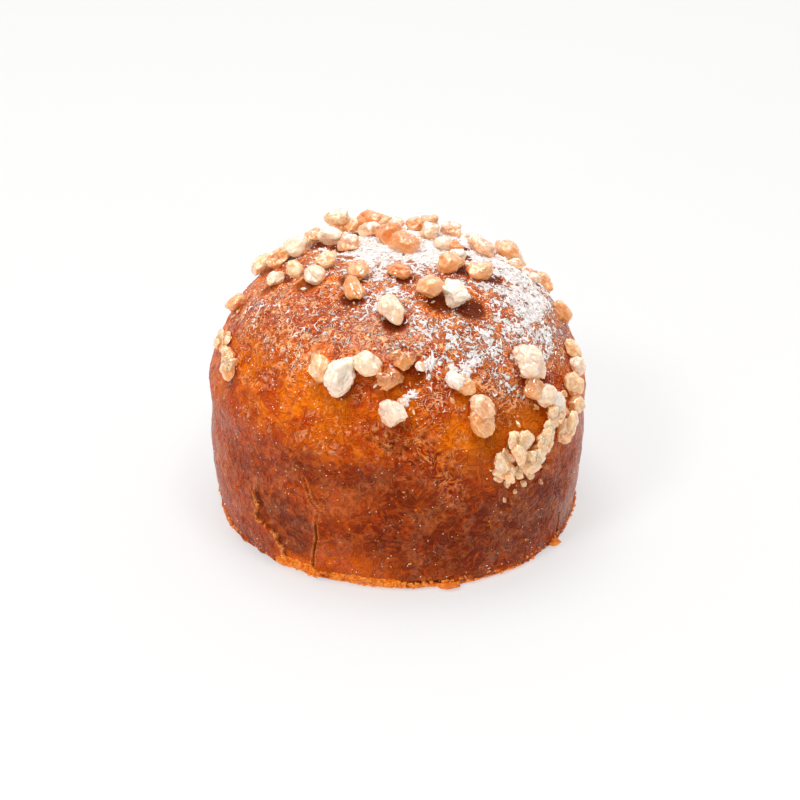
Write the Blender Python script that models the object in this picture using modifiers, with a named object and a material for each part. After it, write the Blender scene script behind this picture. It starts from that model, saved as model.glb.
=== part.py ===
"""A mango brioche: a round bun with a straight moulded wall and a domed, egg-washed crown.

The bun stands on its flat base at the origin, +Z up, with its front towards -Y. Lumps of pearl sugar
are baked onto the crown. They are small against the bun, so they are fused to it, and the whole
brioche is one solid. Lengths are in metres. A place on the crust is given by its azimuth, which is 0
at the front and grows towards +X, and by its distance down the crust from the top of the crown.
"""

import math
import random
from bisect import bisect_right

import bmesh
import bpy
from mathutils import Matrix, Vector, noise

MM = 0.001

# The bun
WALL_TOP_RADIUS = 44.0 * MM
BASE_RADIUS = 42.4 * MM
WALL_BELLY = 1.1 * MM
WALL_HEIGHT = 32.0 * MM
BUN_HEIGHT = 61.5 * MM
CROWN_WIDTH_POWER = 0.63
CROWN_RISE_POWER = 1.24
CROWN_LEAN = Vector((-0.8, 0.6, 0.0)) * MM

# The foot spreads to the front right, most at one azimuth and less to its sides and upwards
FOOT_SPREAD = 1.8 * MM
FOOT_SPREAD_AZIMUTH = math.radians(35.0)
FOOT_SPREAD_WIDTH = math.radians(38.0)
FOOT_SPREAD_HEIGHT = 24.0 * MM

# The uneven crust: height of the swells and the distance from one to the next
BROAD_SWELL, BROAD_SPACING = 0.60 * MM, 22.0 * MM
SMALL_SWELL, SMALL_SPACING = 0.22 * MM, 7.0 * MM
SHOULDER_SWELL = 0.50 * MM
WAIST_DEPTH = 0.35 * MM
SHOULDER_RAISE = 2.0 * MM
SHOULDER_SPREAD = 4.5 * MM
WAIST_DROP = 7.5 * MM
NOISE_ORIGIN = Vector((3.7, 1.3, 8.1))

# The ragged lip that the crust makes round the base: its mean reach, and its broad and fine scallops
LIP_REACH = 0.50 * MM
LIP_BROAD_SCALLOP, LIP_BROAD_SPACING = 0.80 * MM, 9.0 * MM
LIP_FINE_SCALLOP, LIP_FINE_SPACING = 0.45 * MM, 3.3 * MM
LIP_HEIGHT = 1.1 * MM
LIP_ROOT_HEIGHT = 2.6 * MM
BASE_BEVEL = 0.9 * MM
BASE_SHARE_OF_LIP = 0.4

# Mesh density of the bun
AROUND = 72
DOWN_STEP = 3.6 * MM
OUTLINE_STEPS = 400
SLOPE_STEP = 0.5 * MM
FRAME_STEP = 0.8 * MM
MOST_TRIANGLES = 11400
SHARP_ANGLE = math.radians(40.0)

# Loose flaps of crust at the base: azimuth in degrees, then length along the lip and reach outwards
FLAPS = (
    (15.5, 6.4 * MM, 2.2 * MM),
    (56.0, 3.4 * MM, 2.2 * MM),
    (-39.0, 3.6 * MM, 1.2 * MM),
    (141.0, 5.0 * MM, 2.0 * MM),
)
FLAP_THICKNESS = 1.1 * MM
FLAP_HEIGHT = 0.95 * MM
FLAP_CENTRE = 0.1

# Splits in the wall: azimuth, lowest and highest point, and width
SPLITS = (
    (-26.5, 3.6 * MM, 16.5 * MM, 1.1 * MM),
    (58.0, 1.8 * MM, 8.5 * MM, 0.9 * MM),
)
SPLIT_DEPTH = 1.5 * MM
SPLIT_CENTRE = 0.2 * MM
SPLIT_LEAN = math.radians(2.0)

# Runs of sugar lumps: azimuth and distance down of the first lump, the same of the last one, how many
# there are, the length and width of a lump, and how far its length turns from the way down the crust
SUGAR_RUNS = (
    (-113, 35.5, -110, 29.0, 2, 6.4, 5.0, 60),
    (-118, 25.5, -118, 25.5, 1, 7.0, 6.2, 70),
    (-135, 27.0, -158, 25.0, 3, 5.6, 4.6, 80),
    (-169, 25.0, -169, 25.0, 1, 7.4, 5.2, 90),
    (180, 25.0, 168, 24.0, 2, 5.2, 4.4, 90),
    (149, 26.0, 149, 26.0, 1, 7.2, 5.0, 70),
    (-133, 20.0, -133, 20.0, 1, 7.0, 6.0, 20),
    (-132, 13.5, -160, 17.0, 2, 5.8, 5.0, 60),
    (-179, 12.0, 160, 8.0, 2, 7.2, 6.2, 80),
    (152, 18.0, 129, 15.0, 2, 5.8, 4.4, 10),
    (122, 17.0, 102, 15.0, 2, 4.4, 3.8, 70),
    (79, 13.0, 80, 20.0, 2, 6.2, 5.4, 60),
    (118, 23.0, 122, 31.5, 2, 7.0, 5.2, 80),
    (109, 31.0, 104, 35.5, 2, 3.2, 2.8, 20),
    (94, 43.0, 94, 43.0, 1, 5.4, 3.8, 10),
    (12, 6.5, 12, 6.5, 1, 5.2, 4.2, 60),
    (-55, 10.0, -34, 16.0, 2, 7.4, 5.0, 75),
    (-92, 15.0, -72, 19.0, 2, 5.6, 4.8, 60),
    (-88, 23.0, -86, 27.5, 2, 4.8, 4.2, 70),
    (29, 16.5, 42, 21.0, 2, 7.2, 6.6, 40),
    (-2, 21.5, -2, 21.5, 1, 6.4, 5.6, 60),
    (-93, 40.5, -93, 40.5, 1, 6.2, 4.2, 0),
    (-78, 45.5, -66, 47.0, 2, 6.6, 5.2, 80),
    (-27, 38.5, -27, 38.5, 1, 6.6, 5.4, 20),
    (-19, 39.5, -19, 39.5, 1, 9.0, 7.4, 10),
    (-10, 36.0, -10, 36.0, 1, 6.6, 5.2, 80),
    (3, 34.5, -2, 39.0, 2, 7.2, 6.2, 60),
    (-1, 46.0, -1, 46.0, 1, 6.8, 5.8, 30),
    (21, 40.5, 23, 42.0, 2, 5.6, 4.2, 60),
    (27, 47.0, 26, 50.5, 2, 6.6, 5.6, 10),
    (50, 42.0, 50, 42.0, 1, 8.6, 7.4, 40),
    (48, 47.5, 55, 53.0, 3, 6.2, 5.2, 30),
    (53, 55.0, 48, 57.5, 2, 5.4, 4.8, 20),
    (58, 60.0, 58, 60.0, 1, 6.4, 5.0, 10),
    (47, 59.5, 41, 62.5, 2, 6.2, 5.4, 30),
    (37, 57.5, 32, 62.0, 2, 6.8, 5.0, 20),
    (38, 64.5, 38, 64.5, 1, 3.4, 2.8, 20),
    (78, 48.0, 76, 51.5, 2, 5.4, 4.2, 10),
    (67, 53.0, 65, 57.0, 2, 5.6, 4.6, 20),
)

# Lumps that lie on others: azimuth, distance down, length, width, turn, and how far they are lifted
HEAPED_LUMPS = (
    (-150, 25.5, 6.8, 5.8, 80, 2.4),
    (-164, 21.0, 5.6, 4.6, 60, 1.6),
    (158, 22.0, 5.4, 4.4, 70, 1.6),
)

# Sugar lumps scattered over the back of the crown
BACK_LUMPS = 15
BACK_AZIMUTHS = (115.0, 245.0)
BACK_DISTANCES = (33.0 * MM, 58.0 * MM)
BACK_LENGTHS = (4.6 * MM, 7.4 * MM)
BACK_WIDTHS = (0.7, 0.9)
LUMP_CLEARANCE = 6.5 * MM

# The form of a lump, as shares of its own size
LUMP_THICKNESS = 0.86
LUMP_SUNK = 0.15
LUMP_SIZE_SPREAD = 0.08
LUMP_FACETS = 8
LUMP_FACET_DEPTHS = (0.66, 0.94)
LUMP_KNOBS = 4
LUMP_KNOB_HEIGHT = 0.24
LUMP_KNOB_SHARPNESS = 9.0
LUMP_TILT = 16.0
LUMP_TURN_SPREAD = 25.0
SCATTER_SEED = 20

CRUST_COLOUR = (0.42, 0.13, 0.025, 1.0)
SUGAR_COLOUR = (0.83, 0.66, 0.46, 1.0)


def crown_and_wall():
    """The bun's outline from the top of the crown to the foot of the wall, as (radius, height)."""
    rise = BUN_HEIGHT - WALL_HEIGHT
    points = []
    for step in range(OUTLINE_STEPS + 1):
        turn = math.pi / 2 * (1 - (step / OUTLINE_STEPS) ** 2)
        radius = WALL_TOP_RADIUS * max(math.cos(turn), 0.0) ** CROWN_WIDTH_POWER
        points.append((radius, WALL_HEIGHT + rise * math.sin(turn) ** CROWN_RISE_POWER))
    for step in range(OUTLINE_STEPS - 1, -1, -1):
        share = step / OUTLINE_STEPS
        straight = BASE_RADIUS + (WALL_TOP_RADIUS - BASE_RADIUS) * share
        points.append((straight + 4 * WALL_BELLY * share * (1 - share), WALL_HEIGHT * share))
    return points


OUTLINE = crown_and_wall()
DISTANCES = [0.0]
for before, after in zip(OUTLINE, OUTLINE[1:]):
    DISTANCES.append(DISTANCES[-1] + math.dist(before, after))
CROWN_LENGTH = DISTANCES[OUTLINE_STEPS]
CRUST_LENGTH = DISTANCES[-1]
SHOULDER_AT = CROWN_LENGTH - SHOULDER_RAISE
WAIST_AT = SHOULDER_AT + WAIST_DROP


def outline_at(down):
    """Radius and height of the smooth outline at a distance down the crust."""
    place = min(max(bisect_right(DISTANCES, down) - 1, 0), len(OUTLINE) - 2)
    share = (down - DISTANCES[place]) / (DISTANCES[place + 1] - DISTANCES[place])
    (r0, z0), (r1, z1) = OUTLINE[place], OUTLINE[place + 1]
    return r0 + (r1 - r0) * share, z0 + (z1 - z0) * share


def around(azimuth, radius, height):
    """The point at this azimuth, in radians, radius and height."""
    return Vector((radius * math.sin(azimuth), -radius * math.cos(azimuth), height))


def foot_spread(azimuth, height):
    """How far the foot of the wall spreads past a round one."""
    off = math.remainder(azimuth - FOOT_SPREAD_AZIMUTH, 2 * math.pi) / FOOT_SPREAD_WIDTH
    return FOOT_SPREAD * math.exp(-off * off) * max(0.0, 1 - height / FOOT_SPREAD_HEIGHT)


def relief(point, down):
    """How far the crust stands out from the smooth outline."""
    broad = BROAD_SWELL * noise.noise(point / BROAD_SPACING + NOISE_ORIGIN)
    small = SMALL_SWELL * noise.noise(point / SMALL_SPACING + NOISE_ORIGIN)
    shoulder = SHOULDER_SWELL * math.exp(-(((down - SHOULDER_AT) / SHOULDER_SPREAD) ** 2))
    waist = WAIST_DEPTH * math.exp(-(((down - WAIST_AT) / SHOULDER_SPREAD) ** 2))
    return broad + small + shoulder - waist


def crust_point(azimuth, down):
    """A point of the uneven crust."""
    radius, height = outline_at(down)
    next_radius, next_height = outline_at(min(down + SLOPE_STEP, CRUST_LENGTH))
    slope = Vector((height - next_height, next_radius - radius)).normalized()
    stand = relief(around(azimuth, radius, height), down)
    lean = CROWN_LEAN * max(0.0, (height - WALL_HEIGHT) / (BUN_HEIGHT - WALL_HEIGHT))
    radius += foot_spread(azimuth, height)
    return around(azimuth, radius + stand * slope.x, height + stand * slope.y) + lean


def crust_frame(azimuth, down):
    """A point of the crust, the way down it, the way across it and its normal."""
    point = crust_point(azimuth, down)
    turn = FRAME_STEP / max(outline_at(down)[0], FRAME_STEP)
    along = (crust_point(azimuth, down + FRAME_STEP) - point).normalized()
    across = crust_point(azimuth + turn, down) - point
    normal = along.cross(across).normalized()
    return point, along, normal.cross(along), normal


def lip_reach(azimuth):
    """How far the lip stands out at this azimuth."""
    foot = around(azimuth, BASE_RADIUS, 0.0)
    broad = LIP_BROAD_SCALLOP * noise.noise(foot / LIP_BROAD_SPACING + NOISE_ORIGIN)
    fine = LIP_FINE_SCALLOP * noise.noise(foot / LIP_FINE_SPACING + NOISE_ORIGIN)
    return LIP_REACH + broad + fine


def turned_bun():
    """The plain bun as a Screw of its outline: the crown, the wall, the lip's rows and the flat base."""
    rows = round(CRUST_LENGTH / DOWN_STEP)
    last = CRUST_LENGTH - LIP_ROOT_HEIGHT
    profile = [outline_at(last * row / rows) for row in range(rows + 1)]
    profile.append((BASE_RADIUS, LIP_HEIGHT))
    profile.append((BASE_RADIUS - BASE_BEVEL, 0.0))
    profile.append((0.0, 0.0))
    mesh = bpy.data.meshes.new("brioche")
    edges = [(i, i + 1) for i in range(len(profile) - 1)]
    mesh.from_pydata([(radius, 0.0, height) for radius, height in profile], edges, [])
    bun = bpy.data.objects.new("brioche", mesh)
    bpy.context.scene.collection.objects.link(bun)
    screw = bun.modifiers.new("turn", "SCREW")
    screw.steps = AROUND
    screw.render_steps = AROUND
    screw.use_merge_vertices = True
    screw.merge_threshold = 0.01 * MM
    graph = bpy.context.evaluated_depsgraph_get()
    turned = bpy.data.meshes.new_from_object(bun.evaluated_get(graph))
    bun.modifiers.clear()
    bun.data = turned
    bpy.data.meshes.remove(mesh)
    return bun


def crown_distance(radius):
    """Distance down the crown at which the outline has this radius, found by halving."""
    low, high = 0.0, CROWN_LENGTH
    while high - low > 0.001 * MM:
        middle = (low + high) / 2
        if outline_at(middle)[0] < radius:
            low = middle
        else:
            high = middle
    return low


def make_uneven(bun):
    """Moves the turned bun's points out to the uneven crust and to the ragged lip."""
    for vertex in bun.data.vertices:
        radius, height = math.hypot(vertex.co.x, vertex.co.y), vertex.co.z
        azimuth = math.atan2(vertex.co.x, -vertex.co.y)
        if height > WALL_HEIGHT:
            vertex.co = crust_point(azimuth, crown_distance(radius))
        elif height > 1.01 * LIP_HEIGHT:
            vertex.co = crust_point(azimuth, CRUST_LENGTH - height)
        elif radius > 0:
            share = 1.0 if height > 0 else BASE_SHARE_OF_LIP
            reach = share * lip_reach(azimuth) + foot_spread(azimuth, height)
            vertex.co = around(azimuth, radius + reach, height)


def lump_directions(dice, count):
    """Random unit vectors."""
    return [
        Vector((dice.gauss(0, 1), dice.gauss(0, 1), dice.gauss(0, 1))).normalized()
        for _ in range(count)
    ]


def lump_mesh(dice, finish):
    """A sugar lump of radius 1: a ball cut to a few flat sides, with round knobs melted onto it."""
    sides = lump_directions(dice, LUMP_FACETS)
    facets = [(side, dice.uniform(*LUMP_FACET_DEPTHS)) for side in sides]
    knobs = lump_directions(dice, LUMP_KNOBS)
    ball = bmesh.new()
    bmesh.ops.create_icosphere(ball, subdivisions=2, radius=1.0)
    for vertex in ball.verts:
        way = vertex.co.normalized()
        reach = min([1.0] + [depth / way.dot(side) for side, depth in facets if way.dot(side) > 0])
        for knob in knobs:
            reach += LUMP_KNOB_HEIGHT * math.exp(LUMP_KNOB_SHARPNESS * (way.dot(knob) - 1))
        vertex.co = way * reach
    mesh = bpy.data.meshes.new("lump")
    ball.to_mesh(mesh)
    ball.free()
    mesh.materials.append(finish)
    return mesh


def add_lump(dice, collection, finish, place, length, width, turn, lift=0.0):
    """One sugar lump, sunk a little into the crust or lifted onto the lumps below it."""
    point, along, across, normal = crust_frame(*place)
    size = dice.uniform(1 - LUMP_SIZE_SPREAD, 1 + LUMP_SIZE_SPREAD)
    tilt = math.radians(dice.uniform(-LUMP_TILT, LUMP_TILT))
    spin = math.radians(turn + dice.uniform(-LUMP_TURN_SPREAD, LUMP_TURN_SPREAD))
    half = Vector((length, width, width * LUMP_THICKNESS)) * size / 2
    frame = Matrix((along, across, normal)).transposed()
    frame = frame @ Matrix.Rotation(spin, 3, "Z") @ Matrix.Rotation(tilt, 3, "X")
    centre = point + normal * (half.z * (1 - 2 * LUMP_SUNK) + lift)
    lump = bpy.data.objects.new("lump", lump_mesh(dice, finish))
    lump.matrix_world = Matrix.Translation(centre) @ frame.to_4x4() @ Matrix.Diagonal(half).to_4x4()
    collection.objects.link(lump)


def back_places(dice):
    """Places for the lumps at the back, kept clear of each other."""
    found = []
    while len(found) < BACK_LUMPS:
        place = math.radians(dice.uniform(*BACK_AZIMUTHS)), dice.uniform(*BACK_DISTANCES)
        point = crust_point(*place)
        if all((point - crust_point(*other)).length > LUMP_CLEARANCE for other in found):
            found.append(place)
    return found


def add_sugar(collection, finish):
    """All the lumps of pearl sugar: the runs at the front and top, then the scatter at the back."""
    dice = random.Random(SCATTER_SEED)
    for first, near, last, far, count, length, width, turn in SUGAR_RUNS:
        for lump in range(count):
            share = lump / max(count - 1, 1)
            place = math.radians(first + (last - first) * share), (near + (far - near) * share) * MM
            add_lump(dice, collection, finish, place, length * MM, width * MM, turn)
    for azimuth, down, length, width, turn, lift in HEAPED_LUMPS:
        place = math.radians(azimuth), down * MM
        add_lump(dice, collection, finish, place, length * MM, width * MM, turn, lift * MM)
    for place in back_places(dice):
        length = dice.uniform(*BACK_LENGTHS)
        width = length * dice.uniform(*BACK_WIDTHS)
        add_lump(dice, collection, finish, place, length, width, dice.uniform(0, 180))


def add_flaps(collection, finish):
    """Flat crumbs of crust that stick out along the lip, just clear of the ground."""
    dice = random.Random(SCATTER_SEED + 1)
    for degrees, length, reach in FLAPS:
        azimuth = math.radians(degrees)
        flap = bpy.data.objects.new("flap", lump_mesh(dice, finish))
        radius = BASE_RADIUS + foot_spread(azimuth, FLAP_HEIGHT) + FLAP_CENTRE * reach
        half = Vector((length / 2, reach, FLAP_THICKNESS / 2))
        turn = Matrix.Rotation(azimuth, 4, "Z")
        centre = Matrix.Translation(around(azimuth, radius, FLAP_HEIGHT))
        flap.matrix_world = centre @ turn @ Matrix.Diagonal(half).to_4x4()
        collection.objects.link(flap)


def add_splits(collection):
    """Thin wedges that cut the splits into the wall."""
    for degrees, low, high, width in SPLITS:
        azimuth = math.radians(degrees)
        wedge = bmesh.new()
        bmesh.ops.create_uvsphere(wedge, u_segments=10, v_segments=8, radius=1.0)
        mesh = bpy.data.meshes.new("split")
        wedge.to_mesh(mesh)
        wedge.free()
        split = bpy.data.objects.new("split", mesh)
        middle = (low + high) / 2
        radius, _ = outline_at(CRUST_LENGTH - middle)
        half = Vector((width / 2, SPLIT_DEPTH, (high - low) / 2))
        turn = Matrix.Rotation(azimuth, 4, "Z") @ Matrix.Rotation(SPLIT_LEAN, 4, "Y")
        radius += foot_spread(azimuth, middle) + SPLIT_CENTRE
        centre = Matrix.Translation(around(azimuth, radius, middle))
        split.matrix_world = centre @ turn @ Matrix.Diagonal(half).to_4x4()
        split.display_type = "WIRE"
        split.hide_render = True
        collection.objects.link(split)


def join(bun, collection, operation):
    """Applies one Boolean with the collection, then removes the collection's objects."""
    boolean = bun.modifiers.new(operation.lower(), "BOOLEAN")
    boolean.operation = operation
    boolean.operand_type = "COLLECTION"
    boolean.collection = collection
    boolean.solver = "EXACT"
    boolean.material_mode = "TRANSFER"
    bpy.context.view_layer.update()
    graph = bpy.context.evaluated_depsgraph_get()
    joined = bpy.data.meshes.new_from_object(bun.evaluated_get(graph))
    bun.modifiers.clear()
    bun.data = joined
    for piece in list(collection.objects):
        bpy.data.objects.remove(piece)
    bpy.data.collections.remove(collection)


def keep_outer_shell(bun):
    """Drops sealed hollows and loose scraps, so that one closed surface is left."""
    shape = bmesh.new()
    shape.from_mesh(bun.data)
    unseen = set(shape.verts)
    shells = []
    while unseen:
        shell, edge_of_search = set(), [unseen.pop()]
        while edge_of_search:
            vertex = edge_of_search.pop()
            shell.add(vertex)
            for edge in vertex.link_edges:
                other = edge.other_vert(vertex)
                if other in unseen:
                    unseen.remove(other)
                    edge_of_search.append(other)
        shells.append(shell)
    shells.sort(key=len)
    bmesh.ops.delete(shape, geom=[v for shell in shells[:-1] for v in shell], context="VERTS")
    bmesh.ops.triangulate(shape, faces=shape.faces)
    shape.to_mesh(bun.data)
    shape.free()


def thin_out(bun):
    """Collapses the smallest edges, which the joins leave, until the bun has few enough triangles."""
    decimate = bun.modifiers.new("thin", "DECIMATE")
    decimate.ratio = min(1.0, MOST_TRIANGLES / len(bun.data.polygons))
    graph = bpy.context.evaluated_depsgraph_get()
    thinned = bpy.data.meshes.new_from_object(bun.evaluated_get(graph))
    bun.modifiers.clear()
    bun.data = thinned


def material(name, colour, roughness):
    made = bpy.data.materials.new(name)
    made.use_nodes = True
    shader = made.node_tree.nodes["Principled BSDF"]
    shader.inputs["Base Color"].default_value = colour
    shader.inputs["Roughness"].default_value = roughness
    shader.inputs["Metallic"].default_value = 0.0
    return made


def build():
    for old in list(bpy.data.objects):
        bpy.data.objects.remove(old)
    crust = material("crust", CRUST_COLOUR, 0.35)
    sugar = material("pearl_sugar", SUGAR_COLOUR, 0.40)
    bun = turned_bun()
    make_uneven(bun)
    bun.data.materials.append(crust)
    additions = bpy.data.collections.new("sugar_and_flaps")
    bpy.context.scene.collection.children.link(additions)
    add_sugar(additions, sugar)
    add_flaps(additions, crust)
    join(bun, additions, "UNION")
    cutters = bpy.data.collections.new("cutters")
    bpy.context.scene.collection.children.link(cutters)
    add_splits(cutters)
    join(bun, cutters, "DIFFERENCE")
    keep_outer_shell(bun)
    thin_out(bun)
    bun.data.shade_smooth()
    bun.data.set_sharp_from_angle(angle=SHARP_ANGLE)
    home = bpy.data.collections.new("mango_brioche")
    bpy.context.scene.collection.children.link(home)
    bpy.context.scene.collection.objects.unlink(bun)
    home.objects.link(bun)


build()
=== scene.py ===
"""The looks of the mango brioche: its crust, pearl sugar, icing sugar and crumbs, on a pale floor.

The crust follows the same rules as the solid that it stands for, with finer relief. Lengths are in
metres. A place on the crust is given by its azimuth, which is 0 at the front and grows towards +X,
and by its distance down the crust from the top of the crown. In tables these are in degrees and in
millimetres.
"""

import math
import random
from bisect import bisect_right

import bmesh
import bpy
import numpy as np
from mathutils import Matrix, Vector, noise


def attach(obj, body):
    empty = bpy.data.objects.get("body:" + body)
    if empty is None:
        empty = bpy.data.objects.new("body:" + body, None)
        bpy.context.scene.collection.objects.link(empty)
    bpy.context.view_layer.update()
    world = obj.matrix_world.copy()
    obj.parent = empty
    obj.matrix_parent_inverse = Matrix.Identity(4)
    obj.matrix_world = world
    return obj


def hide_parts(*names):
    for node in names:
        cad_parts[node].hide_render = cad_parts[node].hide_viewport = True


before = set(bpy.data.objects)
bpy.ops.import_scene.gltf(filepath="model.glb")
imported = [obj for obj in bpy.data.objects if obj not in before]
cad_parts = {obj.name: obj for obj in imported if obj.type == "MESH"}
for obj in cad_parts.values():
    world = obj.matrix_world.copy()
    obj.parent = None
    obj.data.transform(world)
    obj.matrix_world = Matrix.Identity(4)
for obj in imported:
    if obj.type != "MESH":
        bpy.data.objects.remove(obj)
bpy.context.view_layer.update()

MM = 0.001

# The bun
WALL_TOP_RADIUS = 44.0 * MM
BASE_RADIUS = 42.4 * MM
WALL_BELLY = 1.1 * MM
WALL_HEIGHT = 32.0 * MM
BUN_HEIGHT = 61.5 * MM
CROWN_WIDTH_POWER = 0.63
CROWN_RISE_POWER = 1.24
CROWN_LEAN = Vector((-0.8, 0.6, 0.0)) * MM
FOOT_SPREAD = 1.8 * MM
FOOT_SPREAD_AZIMUTH = math.radians(35.0)
FOOT_SPREAD_WIDTH = math.radians(38.0)
FOOT_SPREAD_HEIGHT = 24.0 * MM

# The uneven crust: height of the swells and the distance from one to the next
BROAD_SWELL, BROAD_SPACING = 0.60 * MM, 22.0 * MM
SMALL_SWELL, SMALL_SPACING = 0.22 * MM, 7.0 * MM
SHOULDER_SWELL = 0.50 * MM
WAIST_DEPTH = 0.35 * MM
SHOULDER_RAISE = 2.0 * MM
SHOULDER_SPREAD = 4.5 * MM
WAIST_DROP = 7.5 * MM
NOISE_ORIGIN = Vector((3.7, 1.3, 8.1))

# The ragged lip round the base
LIP_REACH = 0.50 * MM
LIP_BROAD_SCALLOP, LIP_BROAD_SPACING = 0.80 * MM, 9.0 * MM
LIP_FINE_SCALLOP, LIP_FINE_SPACING = 0.45 * MM, 3.3 * MM
LIP_HEIGHT = 1.1 * MM
LIP_ROOT_HEIGHT = 2.6 * MM
BASE_BEVEL = 0.9 * MM
BASE_SHARE_OF_LIP = 0.4

# Where the lip is bright in colour, with a painted glow: azimuth, half width in degrees and amount
LIP_GLOWS = (
    (-9, 13, 1), (-33, 8, 0.75), (10, 8, 0.6), (32, 18, 0.6), (76, 10, 0.5),
    (110, 14, 0.8), (165, 24, 0.8), (-118, 20, 0.8), (-70, 10, 0.5),
)

# How far up the lip's bright crust reaches: azimuth and height
LIP_TOPS = (
    (-180, 2.4), (-60, 1.6), (-43, 2.4), (-36, 3.4), (-27, 3.4), (-23, 1.8), (-19, 3),
    (-8, 3.2), (1, 2.8), (4, 1.6), (16, 1.6), (24, 1.3), (46, 1.1), (70, 1.4), (180, 2.4),
)
LIP_TOP_SOFTNESS = 0.5 * MM

# The lip's fine form: how its rows crowd together, how it swells from its root and draws in to its
# foot, the height and spacing of its crumbly relief, how sharply its bright places end, and its
# brightness away from them
LIP_ROW_POWER, LIP_ROOT_POWER, LIP_FOOT_POWER = 1.15, 1.5, 2
LIP_CRUMBLES = ((0.30 * MM, 1.3 * MM), (0.20 * MM, 0.7 * MM))
LIP_LIFT, LIP_LIFT_SPACING = 0.30 * MM, 1.6 * MM
LIP_TOP_WOBBLE, LIP_TOP_SPACING = 0.5 * MM, 2.2 * MM
LIP_GLOW_SHARPNESS, LIP_DULL = 4, 0.10

# The gap above the loose flap, dented and painted with shade: first and last azimuth in degrees, the
# softness of its ends in radians, then height, half height and depth
LIP_GAP = (3.0, 16.0)
LIP_GAP_SOFTNESS = 0.05
LIP_GAP_HEIGHT, LIP_GAP_SIZE, LIP_GAP_DEPTH = 2.0 * MM, 0.34 * MM, 0.75 * MM

# Mesh density of the crust. Its columns stand closer together near each split
OUTLINE_STEPS = 400
AZIMUTH_STEPS = 7200
SLOPE_STEP = 0.5 * MM
FRAME_STEP = 0.8 * MM
COLUMNS = 540
ROWS = 164
COLUMN_FOCUS = (-44.0, -26.0, 13.0, 57.0)
COLUMN_FOCUS_WIDTH = 5.0
COLUMN_FOCUS_GAIN = 1.2
LIP_ROWS = 8
BASE_RINGS = (0.97, 0.75, 0.4)

# Loose flaps of crust at the base: azimuth, then length along the lip and reach outwards
FLAPS = (
    (15.5, 6.4 * MM, 2.2 * MM),
    (56.0, 3.4 * MM, 2.2 * MM),
    (-39.0, 3.6 * MM, 1.2 * MM),
    (141.0, 5.0 * MM, 2.0 * MM),
)
FLAP_THICKNESS = 1.1 * MM
FLAP_HEIGHT = 0.95 * MM
FLAP_CENTRE = 0.1

# Where the pale crown meets the darker wall: azimuth and distance down. Each wave of this edge is given
# by its height, its spacing in millimetres and the origin of its noise
BAKE_EDGE = (
    (-180, 61), (-120, 62), (-75, 60), (-57, 57), (-45, 57), (-14, 57), (0, 57.5),
    (15, 62), (31, 67), (52, 68.5), (75, 69), (110, 64), (150, 62), (180, 61),
)
BAKE_SOFTNESS = 3.6 * MM
LOW_REACH = 9.0 * MM
BAKE_WAVES = ((2.6 * MM, 9.0, 2.0), (1.04 * MM, 3.0, 4.0))

# The edge of the skin that has peeled off the wall: the outer skin is on its left
PEEL_EDGE = (
    (-48.5, 71), (-46.5, 76.8), (-47.6, 79.6), (-46.6, 80.6), (-43, 81.5),
    (-39.3, 82.2), (-38.3, 84.8), (-37.2, 87.2), (-38.6, 90.4),
)
PEEL_STEP = 0.62 * MM
PEEL_SPREAD = math.radians(22.0)
PEEL_RAGGED, PEEL_RAGGED_SPACING = 1.5, 1.8 * MM
PEEL_START = (70.0 * MM, 76.0 * MM)
PEEL_SOFTNESS = 0.25 * MM

# Along the peeled edge, the painted highlight on its rim and the painted shade beside it: strength, place
# and width
PEEL_RIM_HIGHLIGHT = (2.6, 0.26 * MM, 0.30 * MM)
PEEL_SHADE = (0.9, -0.50 * MM, 0.40 * MM)

# Where the inner skin ends: azimuths in degrees, and distances down
INNER_AZIMUTHS = (-30.0, -25.0)
INNER_DOWNS = (85.5 * MM, 88.0 * MM)
INNER_SHADE, INNER_AMBER_LOSS = 0.9, 0.8

# Creases and splits: their points, then half width, depth and the height of the rim beside them
SEAMS = (
    (((-28.5, 64.8), (-26, 69.8), (-23.5, 71.8), (-24.5, 74.8)), 0.5, 0.05, 0.20),
    (((-24.6, 75.6), (-24.6, 79.8), (-26, 84), (-26.6, 88.6)), 0.38, 0.75, 0.24),
    (((57.6, 83.2), (58.1, 86.4), (58.4, 90.2)), 0.7, 1.10, 0.10),
    (((-9, 52.2), (-4.5, 53.4), (-1, 55.2), (1.5, 55.4)), 0.6, 0.24, 0.12),
    (((150, 70), (147, 77), (149, 84)), 0.8, 0.50, 0.12),
    (((-118, 72), (-121, 78), (-119, 88)), 0.8, 0.70, 0.12),
)

# Open blisters: azimuth, distance down, radius and depth
BLISTERS = (
    (-5.5, 51.2, 0.8, 0.35), (-0.5, 53, 1.1, 0.45), (3.5, 54.4, 0.9, 0.45), (8, 51.8, 0.7, 0.35),
    (12.5, 55.8, 0.8, 0.40), (15.5, 59.8, 0.9, 0.40), (6.5, 57, 0.7, 0.35), (4, 61.2, 0.7, 0.30),
    (11, 53.2, 0.6, 0.35), (-33, 58.2, 0.8, 0.35), (-29.5, 61, 0.9, 0.40), (46.5, 66.4, 1.2, 0.50),
    (51, 66.8, 0.9, 0.45), (40.5, 66, 0.8, 0.35), (96, 63, 0.9, 0.40), (-100, 60, 0.9, 0.40),
    (170, 62, 1, 0.45), (132, 65, 0.8, 0.40),
)

# Bubbles under the skin of the wall: azimuth, distance down and radius
BUBBLES = (
    (41.5, 69.8, 1.3), (37, 72.2, 1), (33, 73.8, 0.8), (19, 70.2, 0.8), (12.5, 72.2, 0.9),
    (8.5, 70.2, 0.7), (27, 77, 0.9), (-12, 77.5, 1), (-17, 71, 0.8), (63, 76, 0.9),
    (-56, 75, 0.9), (102, 74, 1), (-96, 77, 1.1), (158, 78, 1.1), (-152, 74, 0.9),
)
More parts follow.
